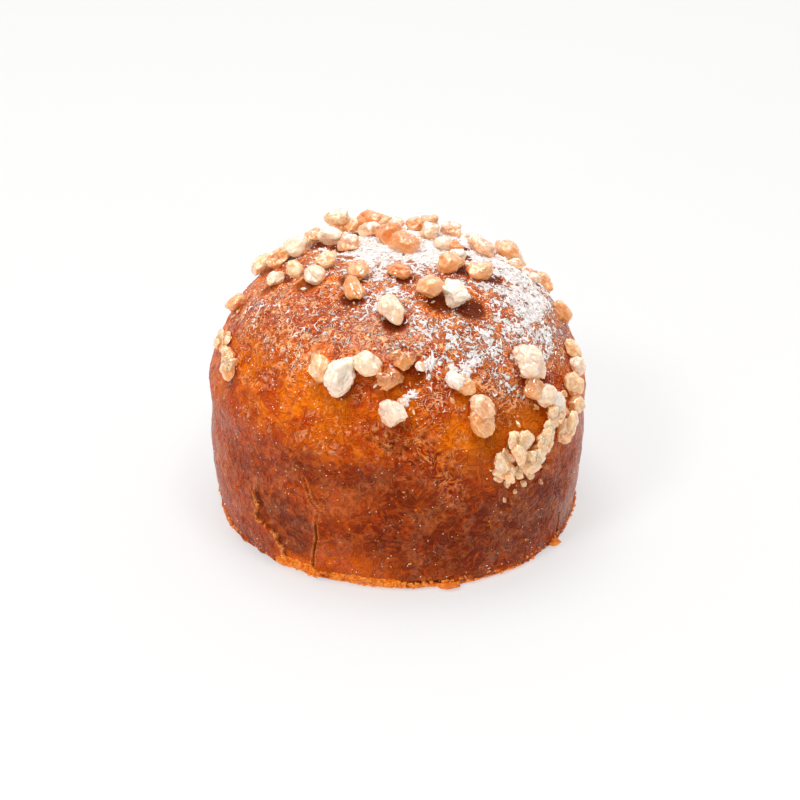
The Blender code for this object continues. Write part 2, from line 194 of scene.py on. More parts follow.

# The section of each kind of mark, in half widths: middle and width of its rim, of its dip, of the painted
# shade in its crack and of the painted highlight on its rim
SEAM_SECTION = ((1.1, 0.5), (0.0, 0.55), (0.0, 0.6), (1.2, 0.5))
BLISTER_SECTION = ((1.25, 0.45), (0.0, 0.8), (0.0, 0.5), (1.25, 0.45))
BUBBLE_SECTION = ((1.0, 0.32), (0.0, 0.6), (0.0, 0.5), (1.0, 0.32))

# Rim, dip, painted crack shade and painted rim highlight of the marks: a seam's by its own depth and rim, a
# blister's by its depth
SEAM_DARKEST_DEPTH, SEAM_HIGHLIGHT = 0.5, 4.0
BLISTER_RIM, BLISTER_CRACK_SHADE, BLISTER_HIGHLIGHT = 0.35, 0.6, 0.35
BLISTER_SLANT = (0.6, 0.3)
BLISTER_RAGGED, BLISTER_RAGGED_SPACING = 0.9, 1.3 * MM
BUBBLE_RIM, BUBBLE_DIP, BUBBLE_HIGHLIGHT = 0.14, 0.10, 0.45
BUBBLE_HALF_LENGTH = 0.2

# Fine waves in the crust: height, spacing in millimetres and origin of the noise
CROWN_WAVES = ((0.13, 2.1, 3.0), (0.12, 1.4, 5.0))
UPRIGHT_WAVES = ((0.12, 1.6, 6.0),)
WALL_WAVES = ((0.14, 3.4, 7.0), (0.10, 1.4, 8.0))
DUST_WAVES = ((0.55, 5.0, 13.0), (0.35, 2.0, 15.0))
UPRIGHT_STRETCH = np.array((1.0, 1.0, 0.35))
CREASE_HEIGHT, CREASE_SPACING, CREASE_HALF_WIDTH = 0.18, 3.4 * MM, 0.26
POWDER_HEIGHT, POWDER_LUMPS, POWDER_SPACING, POWDER_RAISE = 0.10, 0.22, 1.5 * MM, 0.2

# Drifts of icing sugar: azimuth, distance down, radius and amount
DRIFTS = (
    (-120, 1, 13, 0.46), (135, 11, 12, 0.46), (-97, 13, 8, 0.24), (80, 31, 12, 0.62),
    (98, 25, 10, 0.95), (66, 38.5, 9, 0.34), (44, 35, 9, 0.36), (31, 32, 7, 0.20),
    (24, 26, 7, 0.40), (-66, 27, 11, 0.15), (-32, 29, 10, 0.15), (-82, 33, 10, 0.10),
    (-74, 42, 9, 0.08), (2, 26, 9, 0.22), (-16, 17, 8, 0.42), (12, 40, 9, 0.20),
    (-42, 37, 9, 0.14), (-15, 42, 6, 0.16), (38, 44, 6, 0.25), (54, 46, 6, 0.30),
    (180, 24, 18, 0.85), (-145, 30, 15, 0.60), (142, 36, 14, 0.75), (118, 40, 10, 0.60),
    (178, 42, 12, 0.40), (-128, 44, 11, 0.35),
)
MOST_DUST = 1.15

# Thin films of dissolved sugar, and a painted sheen on the wall's left and right edges: azimuth, distance
# down, radius and amount
FILMS_AND_SHEEN = (
    (1, 24, 8, 0.9), (-92, 36, 9, 0.30), (-74, 27, 7, 0.36), (-50, 33, 9, 0.28),
    (-8, 29, 7, 0.60), (-26, 35, 8, 0.22), (40, 40, 12, 0.42), (80, 66, 10, 0.48),
    (76, 80, 9, 0.50), (-84, 76, 13, 0.4), (85, 40, 12, 0.6), (150, 48, 14, 0.5),
    (-150, 52, 14, 0.5), (-88, 60, 8, 0.4), (61, 84, 6, 0.55),
)

# Amber patches where the glaze lies thick: azimuth, distance down, radius and amount
AMBERS = (
    (34, 46.5, 7, 0.9), (47, 58.5, 7.5, 0.9), (31, 57, 7, 0.9), (40, 52, 6, 0.9),
    (58, 63, 5, 0.6), (-140, 55, 9, 0.7), (160, 52, 8, 0.6), (-33, 88.5, 4.5, 1),
    (-21, 86, 4.5, 0.9), (-13, 86, 4.5, 0.8), (-4, 87.5, 4, 0.4), (12, 87.5, 3.5, 0.3),
)

# Darker crust: painted shade on the right of the wall and below the crown's bulge, and crust baked darker
# elsewhere: azimuth, distance down, radius and amount
SHADE_AND_BAKE_SPOTS = (
    (14, 74, 9, 0.8), (32, 79, 11, 0.85), (50, 77, 9, 0.85), (12, 85, 8, 0.7),
    (-32, 63, 5, 0.5), (-12, 62, 5, 0.7), (2, 65, 6, 0.7), (-8, 76, 6, 0.4),
    (-38, 75, 4.5, 0.9), (-33, 80, 5, 1), (-5, 84, 8, 0.5), (-22, 62, 4, 0.5),
    (42, 72.5, 8, 0.85), (-20, 82, 6, 0.4), (-60, 36, 8, 0.40), (-84, 40, 10, 0.60),
    (-33, 27, 6, 0.35), (-50, 40, 6, 0.3), (-12, 30, 6, 0.35), (27, 59, 5, 0.7),
    (170, 78, 14, 0.6), (-110, 80, 12, 0.4),
)

# Torn, bubbly crust: azimuth, distance down, radius and amount
TORN = (
    (-6, 50, 3, 0.5), (-2, 52.5, 3, 0.8), (4, 54, 3.5, 0.9), (9, 56.5, 3.5, 0.9),
    (13, 60, 3.5, 0.9), (16, 64, 3, 0.8), (17, 68, 2.6, 0.5), (8, 50, 3, 0.4),
    (46, 67, 3.4, 0.8), (40, 66.5, 3, 0.7), (170, 62, 4, 0.7), (-100, 60, 4, 0.6),
)

# The bare crust below each lump, which it kept free of icing sugar and where its shadow is painted dark:
# how far below and beside it, and its radius, in widths of the lump, then how sharp its edge is and how
# much icing sugar and film it keeps off
BARE_BELOW, BARE_BESIDE, BARE_RADIUS = 0.52, 0.20, 0.62
BARE_SHARPNESS = 1.5
BARE_OF_DUST, BARE_OF_FILM = 0.95, 0.8
# The painted shadow, which also clears films and icing sugar: the share of the mask over which it sets in,
# the amount of drift over which it grows to full strength, and its least strength away from the drifts
BARE_SHADOW_RAMP, BARE_DRIFTS, BARE_LEAST = (0.1, 0.7), (0.10, 0.30), 0.25

# Runs of sugar lumps: length and width of a lump, how far its length turns from the way down the
# crust, one letter of TINTS for each lump, then azimuth and distance down of the first lump, and the
# same of the last one where there are more
SUGAR_RUNS = (
    (6.4, 5, 60, "yp", -113, 35.5, -110, 29),
    (7, 6.2, 70, "g", -118, 25.5),
    (5.6, 4.6, 80, "ppp", -135, 27, -158, 25),
    (7.4, 5.2, 90, "p", -169, 25),
    (5.2, 4.4, 90, "kp", 180, 25, 168, 24),
    (7.2, 5, 70, "k", 149, 26),
    (7, 6, 20, "g", -133, 20),
    (5.8, 5, 60, "kk", -132, 13.5, -160, 17),
    (7.2, 6.2, 80, "oa", -179, 12, 160, 8),
    (5.8, 4.4, 10, "kg", 152, 18, 129, 15),
    (4.4, 3.8, 70, "ow", 122, 17, 102, 15),
    (6.2, 5.4, 60, "pp", 79, 13, 80, 20),
    (7, 5.2, 80, "kp", 118, 23, 122, 31.5),
    (3.2, 2.8, 20, "kg", 109, 31, 104, 35.5),
    (5.4, 3.8, 10, "p", 94, 43),
    (5.2, 4.2, 60, "o", 12, 6.5),
    (7.4, 5, 75, "pa", -55, 10, -34, 16),
    (5.6, 4.8, 60, "yg", -92, 15, -72, 19),
    (4.8, 4.2, 70, "yg", -88, 23, -86, 27.5),
    (7.2, 6.6, 40, "pw", 29, 16.5, 42, 21),
    (6.4, 5.6, 60, "g", -2, 21.5),
    (6.2, 4.2, 0, "p", -93, 40.5),
    (6.6, 5.2, 80, "jj", -78, 45.5, -66, 47),
    (6.6, 5.4, 20, "y", -27, 38.5),
    (9, 7.4, 10, "w", -19, 39.5),
    (6.6, 5.2, 80, "g", -10, 36),
    (7.2, 6.2, 60, "cc", 3, 34.5, -2, 39),
    (6.8, 5.8, 30, "v", -1, 46),
    (5.6, 4.2, 60, "wp", 21, 40.5, 23, 42),
    (6.6, 5.6, 10, "kp", 27, 47, 26, 50.5),
    (8.6, 7.4, 40, "v", 50, 42),
    (6.2, 5.2, 30, "pgw", 48, 47.5, 55, 53),
    (5.4, 4.8, 20, "ff", 53, 55, 48, 57.5),
    (6.4, 5, 10, "f", 58, 60),
    (6.2, 5.4, 30, "ff", 47, 59.5, 41, 62.5),
    (6.8, 5, 20, "ff", 37, 57.5, 32, 62),
    (3.4, 2.8, 20, "f", 38, 64.5),
    (5.4, 4.2, 10, "yg", 78, 48, 76, 51.5),
    (5.6, 4.6, 20, "yy", 67, 53, 65, 57),
)

# Lumps that lie on others: azimuth, distance down, length, width, turn, lift and tint
HEAPED_LUMPS = (
    (-150, 25.5, 6.8, 5.8, 80, 2.4, "y"),
    (-164, 21, 5.6, 4.6, 60, 1.6, "o"),
    (158, 22, 5.4, 4.4, 70, 1.6, "p"),
)

# Sugar lumps scattered over the back of the crown
BACK_LUMPS = 15
BACK_AZIMUTHS = (115.0, 245.0)
BACK_DISTANCES = (33.0 * MM, 58.0 * MM)
BACK_LENGTHS = (4.6 * MM, 7.4 * MM)
BACK_WIDTHS = (0.7, 0.9)
BACK_TINTS = "ypgwpykwgpoypwk"
LUMP_CLEARANCE = 6.5 * MM

# The form of a lump, as shares of its own size
LUMP_THICKNESS = 0.86
LUMP_SUNK = 0.15
LUMP_SIZE_SPREAD = 0.08
LUMP_FACETS = 8
LUMP_FACET_DEPTHS = (0.66, 0.94)
LUMP_KNOBS = 4
LUMP_KNOB_HEIGHT = 0.24
LUMP_KNOB_SHARPNESS = 9.0
LUMP_TILT = 16.0
LUMP_TURN_SPREAD = 25.0
SCATTER_SEED = 20

# The small flat faces and steps of a lump's crystals, as shares of its own size
LUMP_FACES = 16
FACE_DEPTHS = (0.90, 1.14)
LUMP_GROWTH = 1.05
LUMP_DENTS = 4
DENT_DEPTH = 0.20
DENT_SHARPNESS = 7.0
LUMP_CRYSTALS = 7
CRYSTAL_STEP = 0.07
CREASE_DEPTH = 0.05
CREASE_WIDTH = 0.07
GRAIN_HEIGHTS = ((2.2, 0.07), (5.0, 0.040), (11.0, 0.018))
GRAIN_ORIGIN_STEP = (3.1, 1.7, 0.0)
LUMP_DETAIL = 5

# Tints of the lumps: the piece that each belongs to and its colour
TINTS = {
    "w": ("pearl_sugar_white", (0.96, 0.90, 0.83)),
    "v": ("pearl_sugar_white", (0.90, 0.76, 0.64)),
    "g": ("pearl_sugar_white", (0.91, 0.78, 0.62)),
    "y": ("pearl_sugar_cream", (0.86, 0.58, 0.29)),
    "k": ("pearl_sugar_cream", (0.88, 0.58, 0.38)),
    "p": ("pearl_sugar_golden", (0.82, 0.41, 0.15)),
    "a": ("pearl_sugar_golden", (0.71, 0.27, 0.07)),
    "o": ("pearl_sugar_golden", (0.72, 0.21, 0.025)),
    "c": ("pearl_sugar_golden", (0.48, 0.10, 0.010)),
    "f": ("pearl_sugar_cream", (0.98, 0.72, 0.44)),
    "j": ("pearl_sugar_cream", (0.86, 0.50, 0.20)),
}

# How much of a lump of a tint turns pale, and how much of it takes on the oven's colour; the others
# count as 1
PALENESS = {"c": 0.05, "o": 0.02, "p": 0.40, "a": 0.10, "v": 0.35}
STAINS = {"w": 0.25, "v": 0.35, "g": 0.45, "y": 0.6, "f": 0.55, "k": 0.8}

# How folded the lumps of a tint are; the others count as 0
FOLDED = {"w": 0.35, "v": 0.35, "k": 0.3}
FOLD_FINENESS, FOLD_DEPTH, FOLD_WIDTH, FOLD_RAISE = 1.7, 0.30, 0.07, 0.06
FOLD_EDGE_FINENESS, FOLD_EDGES, FOLD_EDGE_SLOPE = 5.5, 0.10, 2.2

# Where a lump carries icing sugar and where its underside is painted with shade and a glow, by how far its
# surface faces up
POWDERED, POWDER_BONUS, UNDERSIDE = (0.1, 0.8), 0.15, (-0.7, 0.4)

# Lumps of these tints are clusters of this many flat-sided crystals
CLUSTERS = {"c": 5, "f": 7, "j": 7}
CLUSTER_SCALES = {"c": 0.76, "f": 1.12, "j": 0.95}
CLUSTER_SPREAD, CLUSTER_START = 0.70, 0.4
CRYSTAL_SIZES = (0.46, 0.82)
CRYSTAL_SHAPE = (1.0, 0.84, 0.72)
CRYSTAL_SIDES = 11
CRYSTAL_DEPTHS = (0.62, 1.0)
CRYSTAL_REACH, CRYSTAL_LEAST_FACING, NO_SIDE = 1.2, 0.05, 9.0
CRYSTAL_GRAIN, CRYSTAL_EDGE_CUT = ((2.6, 0.16), (7.0, 0.05)), 0.02
CRYSTAL_DETAIL = 4
CRYSTAL_TILT, CRYSTAL_TURN_STEP, CRYSTAL_TURN_SPREAD = 0.7, 2.4, 0.4
CRYSTAL_HEIGHTS = (-0.25, 0.35)
JOINT_START, JOINT_WIDTH, JOINT_EDGE_LOSS = 0.9, 0.22, 0.7
EDGE_WIDTH = 0.035
CLUSTER_SEED = 500
NUMBER_STEP = 0.618
# The values that each lump carries: its edge is painted as a highlight, its underside with shade and a glow
LUMP_VALUES = ("crease", "edge", "powder", "under", "pale", "stain")

# Small splinters of sugar beside the lumps
SPLINTERS = 90
SPLINTER_SIZES = (0.22 * MM, 0.70 * MM)
SPLINTER_SHAPES = ((0.8, 1.8), (0.5, 0.9), (0.5, 0.8))
SPLINTER_SPREAD, SPLINTER_REACHES = 1.3, (0.5, 0.95)
SPLINTER_TILT, SPLINTER_LIFT = 0.4, 0.6
SPLINTER_FORMS, SPLINTER_DETAIL = 16, 3
SPLINTER_VALUES = {"crease": 0.0, "number": 0.5, "powder": 0.0, "under": 0.0, "pale": 0.4, "stain": 1.0}
SPLINTER_SEED = 44

# Chips of sugar that show in the photograph: azimuth, distance down, half length, turn and tint
CHIPS = (
    (2.6, 43.8, 1.3, 60, "w"), (10, 36.4, 1.4, 80, "w"), (27.6, 48.8, 2.3, 80, "k"),
    (34, 67.2, 1, 30, "j"), (37, 69.8, 0.8, 80, "p"), (40, 68.8, 1, 10, "j"),
    (31, 65.2, 1.2, 60, "f"), (43, 67.4, 1.2, 20, "j"), (45.5, 65, 1.3, 50, "f"),
    (36, 64.8, 1.3, 0, "f"), (50, 61.8, 1.2, 70, "f"), (47, 70.4, 0.8, 20, "c"),
    (33, 71, 0.6, 10, "p"), (60, 56.4, 1.3, 30, "f"), (56, 57.6, 1.3, 80, "f"),
    (61, 53, 1.2, 60, "y"), (57, 55, 1.6, 20, "f"), (54, 57.2, 1.5, 70, "f"),
    (44.5, 60.6, 1.5, 40, "f"), (34.6, 60.2, 1.5, 60, "f"),
)
CHIP_SHAPE = (1.0, 0.8, 0.6)

# The worm-like flakes of icing sugar. They crowd on the drifts by a power of the dust, and thin out in
# the thickest of it, from the first share down by the second
FLAKES = 2400
FLAKE_LENGTHS = (0.6 * MM, 2.0 * MM)
FLAKE_WIDTHS = (0.14 * MM, 0.36 * MM)
FLAKE_HEIGHTS = (0.12 * MM, 0.32 * MM)
FLAKE_BEND = 1.0
FLAKE_STATIONS = 7
FLAKE_SUNK = 0.08 * MM
FLAKE_SEED = 41
FLAKE_SHIFT = 0.3
FLAKE_CROWDING, FLAKE_SHARES = 3.0, (1.3, 0.8)
FLAKE_TIP, FLAKE_MIDDLE = 0.25, 0.33
FLAKE_WIDTH_SPREAD, FLAKE_HEIGHT_SPREAD = (0.7, 1.3), (0.6, 1.3)

# Bursts of larger flakes: azimuth, distance down, reach in millimetres and how many flakes
BURSTS = (
    (4.2, 43.2, 1.1, 18), (6.2, 42.2, 0.7, 8), (12.6, 36, 1.4, 22), (15, 35, 0.8, 10),
    (26.2, 38.4, 1.7, 40), (29.6, 37.4, 1.1, 18), (21.6, 37.8, 0.9, 10), (54, 43.4, 0.8, 8),
    (51.5, 50.6, 0.8, 8), (40, 31, 1.1, 12),
)
BURST_SCALE, BURST_SPREAD, BURST_FLATNESS, BURST_LIFT = 1.15, 0.5, 0.3, 0.35 * MM

# The tiny crystals of icing sugar, and how likely they are away from the drifts and by the lip
GRAINS = 7000
GRAIN_SIZES = (0.07 * MM, 0.20 * MM)
GRAIN_SPREAD, GRAIN_LIFT, GRAIN_SHIFT = (0.6, 1.3), 0.4, 0.4
GRAINS_ANYWHERE, GRAINS_BY_LIP, BY_LIP = 0.006, 0.03, 5 * MM
GRAIN_SEED = 42
GRAIN_FACES = ((0, 1, 4), (1, 2, 4), (2, 3, 4), (3, 0, 4), (1, 0, 5), (2, 1, 5), (3, 2, 5), (0, 3, 5))

# Crumbs along the lip and on the wall
LIP_CRUMBS = 420
WALL_CRUMBS = 50
CRUMB_SIZES = (0.20 * MM, 0.62 * MM)
CRUMB_SEED = 43
CRUMBS_PER_FRONT_ONE = 3
CRUMB_AZIMUTH = math.radians(-10.0)
CRUMB_AZIMUTH_SPREAD = math.radians(12.0)
CRUMB_FORMS, CRUMB_DETAIL = 12, 2
CRUMB_SHAPES = ((0.6, 1.0), (0.5, 0.9))
LIP_CRUMB_HEIGHTS, LIP_CRUMB_REACH = (0.7, 2.2), 0.8
WALL_CRUMB_RAISES, WALL_CRUMB_SCALE = (2.5, 30.0), 0.7
FLAP_NUMBERS, CRUMB_NUMBERS = 200, 300

# Floor and light
FLOOR_SIZE = 12.0
FLOOR_DROP = 0.02 * MM
FLOOR_COLOURS = ((0.34, 0.337, 0.333), (0.3383, 0.335315, 0.331335))
FLOOR_PATCHES = 400.0
FLOOR_GLOW = 0.52
SKY_FRONT = (0.14, 0.14, 0.14)
SKY_BACK = (0.85, 0.85, 0.85)

# Each light: name, azimuth and elevation of its place, its distance, size and power
LIGHTS = (
    ("key", -150, 78, 1.1, 0.50, 3.4),
    ("top", 180, 86, 1.1, 0.90, 3.6),
    ("front_left", -40, 46, 1.2, 0.26, 4.8),
    ("front_right", 45, 72, 1.2, 0.22, 2.2),
    ("low_left", -32, 13, 1.2, 0.08, 0.9),
    ("low_right", 36, 15, 1.2, 0.08, 0.6),
)

# The camera stands where the photograph's stood
CAMERA_ELEVATION = math.radians(29.6)
CAMERA_DISTANCE = 0.618
CAMERA_LENS = 116.9
CAMERA_AIM = Vector((0.64, 0.0, 30.7)) * MM
CAMERA_AIM_BELOW = 4.7 * MM
CLIP_START = 0.01


def crown_and_wall():
    """The bun's outline from the top of the crown to the foot of the wall, as (radius, height)."""
    rise = BUN_HEIGHT - WALL_HEIGHT
    points = []
    for step in range(OUTLINE_STEPS + 1):
        turn = math.pi / 2 * (1 - (step / OUTLINE_STEPS) ** 2)
        radius = WALL_TOP_RADIUS * max(math.cos(turn), 0.0) ** CROWN_WIDTH_POWER
        points.append((radius, WALL_HEIGHT + rise * math.sin(turn) ** CROWN_RISE_POWER))
    for step in range(OUTLINE_STEPS - 1, -1, -1):
        share = step / OUTLINE_STEPS
        straight = BASE_RADIUS + (WALL_TOP_RADIUS - BASE_RADIUS) * share
        points.append((straight + 4 * WALL_BELLY * share * (1 - share), WALL_HEIGHT * share))
    return points


OUTLINE = crown_and_wall()
DISTANCES = [0.0]
for before, after in zip(OUTLINE, OUTLINE[1:]):
    DISTANCES.append(DISTANCES[-1] + math.dist(before, after))
CROWN_LENGTH = DISTANCES[OUTLINE_STEPS]
CRUST_LENGTH = DISTANCES[-1]
SHOULDER_AT = CROWN_LENGTH - SHOULDER_RAISE
WAIST_AT = SHOULDER_AT + WAIST_DROP


def outline_at(down):
    """Radius and height of the smooth outline at a distance down the crust."""
    place = min(max(bisect_right(DISTANCES, down) - 1, 0), len(OUTLINE) - 2)
    share = (down - DISTANCES[place]) / (DISTANCES[place + 1] - DISTANCES[place])
    (r0, z0), (r1, z1) = OUTLINE[place], OUTLINE[place + 1]
    return r0 + (r1 - r0) * share, z0 + (z1 - z0) * share


def around(azimuth, radius, height):
    """The point at this azimuth, in radians, radius and height."""
    return Vector((radius * math.sin(azimuth), -radius * math.cos(azimuth), height))


def foot_spread(azimuth, height):
    """How far the foot of the wall spreads past a round one."""
    off = math.remainder(azimuth - FOOT_SPREAD_AZIMUTH, 2 * math.pi) / FOOT_SPREAD_WIDTH
    return FOOT_SPREAD * math.exp(-off * off) * max(0.0, 1 - height / FOOT_SPREAD_HEIGHT)


def relief(point, down):
    """How far the crust stands out from the smooth outline."""
    broad = BROAD_SWELL * noise.noise(point / BROAD_SPACING + NOISE_ORIGIN)
    small = SMALL_SWELL * noise.noise(point / SMALL_SPACING + NOISE_ORIGIN)
    shoulder = SHOULDER_SWELL * math.exp(-(((down - SHOULDER_AT) / SHOULDER_SPREAD) ** 2))
    waist = WAIST_DEPTH * math.exp(-(((down - WAIST_AT) / SHOULDER_SPREAD) ** 2))
    return broad + small + shoulder - waist


def slope_at(down):
    """The outline's outward normal, as (radial, upward)."""
    radius, height = outline_at(down)
    next_radius, next_height = outline_at(min(down + SLOPE_STEP, CRUST_LENGTH))
    return Vector((height - next_height, next_radius - radius)).normalized()


def crust_point(azimuth, down):
    """A point of the uneven crust, before its fine relief."""
    radius, height = outline_at(down)
    slope = slope_at(down)
    stand = relief(around(azimuth, radius, height), down)
    lean = CROWN_LEAN * max(0.0, (height - WALL_HEIGHT) / (BUN_HEIGHT - WALL_HEIGHT))
    radius += foot_spread(azimuth, height)
    return around(azimuth, radius + stand * slope.x, height + stand * slope.y) + lean


def crust_frame(azimuth, down):
    """A point of the crust, the way down it, the way across it and its normal."""
    point = crust_point(azimuth, down)
    turn = FRAME_STEP / max(outline_at(down)[0], FRAME_STEP)
    along = (crust_point(azimuth, down + FRAME_STEP) - point).normalized()
    across = crust_point(azimuth + turn, down) - point
    normal = along.cross(across).normalized()
    return point, along, normal.cross(along), normal


def lip_reach(azimuth):
    """How far the lip stands out at this azimuth."""
    foot = around(azimuth, BASE_RADIUS, 0.0)
    broad = LIP_BROAD_SCALLOP * noise.noise(foot / LIP_BROAD_SPACING + NOISE_ORIGIN)
    fine = LIP_FINE_SCALLOP * noise.noise(foot / LIP_FINE_SPACING + NOISE_ORIGIN)
    return LIP_REACH + broad + fine


def smooth(value, low, high):
    """0 below low, 1 above high, and a smooth rise between them."""
    share = np.clip((value - low) / (high - low), 0.0, 1.0)
    return share * share * (3 - 2 * share)


def bell(value, middle, width):
    """1 at the middle, and a smooth fall to 0 on both sides."""
    return np.exp(-((value - middle) / width) ** 2)


def swell(points, spacing, origin):
    """Smooth noise from about -1 to 1 at each point; spacing is the distance between its hills."""
    shift = NOISE_ORIGIN + Vector((origin, 2 * origin, -origin))
    return np.array([noise.noise(Vector(point) / spacing + shift) for point in points])


def unit(rows):
    """The vectors in these rows, each scaled to length 1."""
    return rows / np.linalg.norm(rows, axis=1)[:, None]


def with_waves(start, points, waves):
    """The start value with the waves of a table added."""
    for height, spacing, origin in waves:
        start = start + height * swell(points, spacing * MM, origin)
    return start


def creases(points, spacing, width, origin):
    """1 along thin winding lines and 0 away from them."""
    return np.clip(1 - np.abs(swell(points, spacing, origin)) / width, 0.0, 1.0)


def column_azimuths():
    """Azimuths of the crust's columns, closer together near each place of COLUMN_FOCUS."""
    fine = np.linspace(-180.0, 180.0, AZIMUTH_STEPS + 1)
    density = np.ones_like(fine)
    for centre in COLUMN_FOCUS:
        density += COLUMN_FOCUS_GAIN * bell(fine, centre, COLUMN_FOCUS_WIDTH)
    reached = np.concatenate([[0.0], np.cumsum((density[1:] + density[:-1]) / 2)])
    wanted = np.arange(COLUMNS) / COLUMNS * reached[-1]
    return np.radians(np.interp(wanted, reached, fine))


def spots(points, table):
    """The soft spots of a table at these points, added up."""
    total = np.zeros(len(points))
    for azimuth, down, radius, amount in table:
        centre = np.array(crust_point(math.radians(azimuth), down * MM))
        total += amount * np.exp(-((points - centre) ** 2).sum(axis=1) / (radius * MM) ** 2)
    return total


def distance_to_line(crust, line):
    """How far each point of the crust is from a line on it, in metres along the crust."""
    nearest = np.full(len(crust["points"]), 1.0)
    for (azimuth0, down0), (azimuth1, down1) in zip(line, line[1:]):
        x0 = (crust["azimuth"] - math.radians(azimuth0)) * crust["radius"]
        y0 = crust["down"] - down0 * MM
        run_x = math.radians(azimuth1 - azimuth0) * crust["radius"]
        run_y = np.full_like(run_x, (down1 - down0) * MM)
        share = np.clip((x0 * run_x + y0 * run_y) / (run_x ** 2 + run_y ** 2), 0.0, 1.0)
        nearest = np.minimum(nearest, np.hypot(x0 - share * run_x, y0 - share * run_y))
    return nearest


def crust_grid():
    """Points of the crust from the second row at the top down to the root of the lip."""
    azimuths = column_azimuths()
    rows = []
    for down in np.linspace(0.0, CRUST_LENGTH - LIP_ROOT_HEIGHT, ROWS + 1)[1:]:
        slope, (radius, _) = slope_at(down), outline_at(down)
        rows += [(crust_point(a, down), around(a, slope.x, slope.y), a, down, radius) for a in azimuths]
    names = ("points", "normals", "azimuth", "down", "radius")
    return azimuths, {name: np.array(values) for name, values in zip(names, zip(*rows))}


def bake_masks(crust):
    """0 on the pale crown and 1 on the darker wall; then how near the crown is to the wall."""
    azimuths, downs = zip(*BAKE_EDGE)
    edge = np.interp(np.degrees(crust["azimuth"]), azimuths, downs) * MM
    past = with_waves(crust["down"] - edge, crust["points"], BAKE_WAVES)
    return smooth(past, -BAKE_SOFTNESS, BAKE_SOFTNESS), smooth(past, -LOW_REACH, 0.0)


def bare_and_shadow_mask(points, lumps):
    """1 below and to the right of each lump, where it kept the icing sugar off and its shadow is painted.
    """
    bare = np.zeros(len(points))
    for lump in lumps:
        away = ((points - np.array(lump["bare"])) ** 2).sum(axis=1) / (BARE_RADIUS * lump["width"]) ** 2
        bare = np.maximum(bare, np.exp(-away ** BARE_SHARPNESS))
    return bare


def peeled(crust):
    """Relief of the outer skin by the peeled edge; masks of its painted highlight, painted shade and inner
    skin.
    """
    azimuths, downs = zip(*PEEL_EDGE)
    edge = np.interp(crust["down"] / MM, downs, azimuths)
    edge += PEEL_RAGGED * swell(crust["points"], PEEL_RAGGED_SPACING, 9.0)
    off = np.radians(edge) - crust["azimuth"]
    past = off * crust["radius"]
    inside = smooth(crust["down"], *PEEL_START)
    step = smooth(past, -PEEL_SOFTNESS, PEEL_SOFTNESS)
    fade = np.exp(-np.clip(off / PEEL_SPREAD, 0.0, None) ** 2)
    rim, shade = (strength * bell(past, *place) for strength, *place in (PEEL_RIM_HIGHLIGHT, PEEL_SHADE))
    inner = (1 - step) * (1 - smooth(np.degrees(crust["azimuth"]), *INNER_AZIMUTHS))
    inner *= 1 - smooth(crust["down"], *INNER_DOWNS)
    return PEEL_STEP * step * fade * inside, rim * inside, shade * inside, inner * inside


def crust_marks():
    """Line, half width, section, raggedness, rim, dip, painted shade and highlight of each seam, blister,
    bubble.
    """
    for line, width, depth, rim in SEAMS:
        crack_shade = min(depth / SEAM_DARKEST_DEPTH, 1.0)
        yield line, width, SEAM_SECTION, 0.0, rim, depth, crack_shade, SEAM_HIGHLIGHT * rim
    for azimuth, down, radius, depth in BLISTERS:
        half, drop = BLISTER_SLANT
        line = ((azimuth - half, down), (azimuth + half, down + drop))
        rim = BLISTER_RIM * depth
        yield line, radius, BLISTER_SECTION, BLISTER_RAGGED, rim, depth, BLISTER_CRACK_SHADE, BLISTER_HIGHLIGHT
    for azimuth, down, radius in BUBBLES:
        line = ((azimuth - BUBBLE_HALF_LENGTH, down), (azimuth + BUBBLE_HALF_LENGTH, down))
        yield line, radius, BUBBLE_SECTION, 0.0, BUBBLE_RIM, BUBBLE_DIP, 0.0, BUBBLE_HIGHLIGHT


def fine_relief(crust, masks):
    """How far each point stands out past the broad swells; masks of painted shade in cracks and highlights
    on rims.
    """
    points = crust["points"]
    crown = CREASE_HEIGHT * creases(points, CREASE_SPACING, CREASE_HALF_WIDTH, 1.0)
    crown = with_waves(crown, points, CROWN_WAVES)
    side = with_waves(0.0, points * UPRIGHT_STRETCH, UPRIGHT_WAVES)
    side = with_waves(side, points, WALL_WAVES)
    lumpy = np.clip(swell(points, POWDER_SPACING, 11.0) + POWDER_RAISE, 0.0, 1.0)
    powder = masks["dust"] * (POWDER_HEIGHT + POWDER_LUMPS * lumpy)
    out = MM * (crown * (1 - masks["bake"]) + side * masks["bake"] + powder)
    skin, rim_highlights, crack_shades, inner = peeled(crust)
    ragged = swell(points, BLISTER_RAGGED_SPACING, 17.0)
    for line, width, section, raggedness, rim, dip, crack_shade, light in crust_marks():
        away = distance_to_line(crust, line) / (width * MM) * (1 + raggedness * ragged)
        at_rim, at_dip, at_crack, at_highlight = (bell(away, *place) for place in section)
        out += MM * (rim * at_rim - dip * at_dip)
        crack_shades = np.maximum(crack_shades, crack_shade * at_crack)
        rim_highlights = np.maximum(rim_highlights, light * at_highlight)
    masks["shade"] = np.maximum(masks["shade"], INNER_SHADE * inner)
    masks["amber"] = masks["amber"] * (1 - INNER_AMBER_LOSS * inner)
    return out + skin, crack_shades, rim_highlights


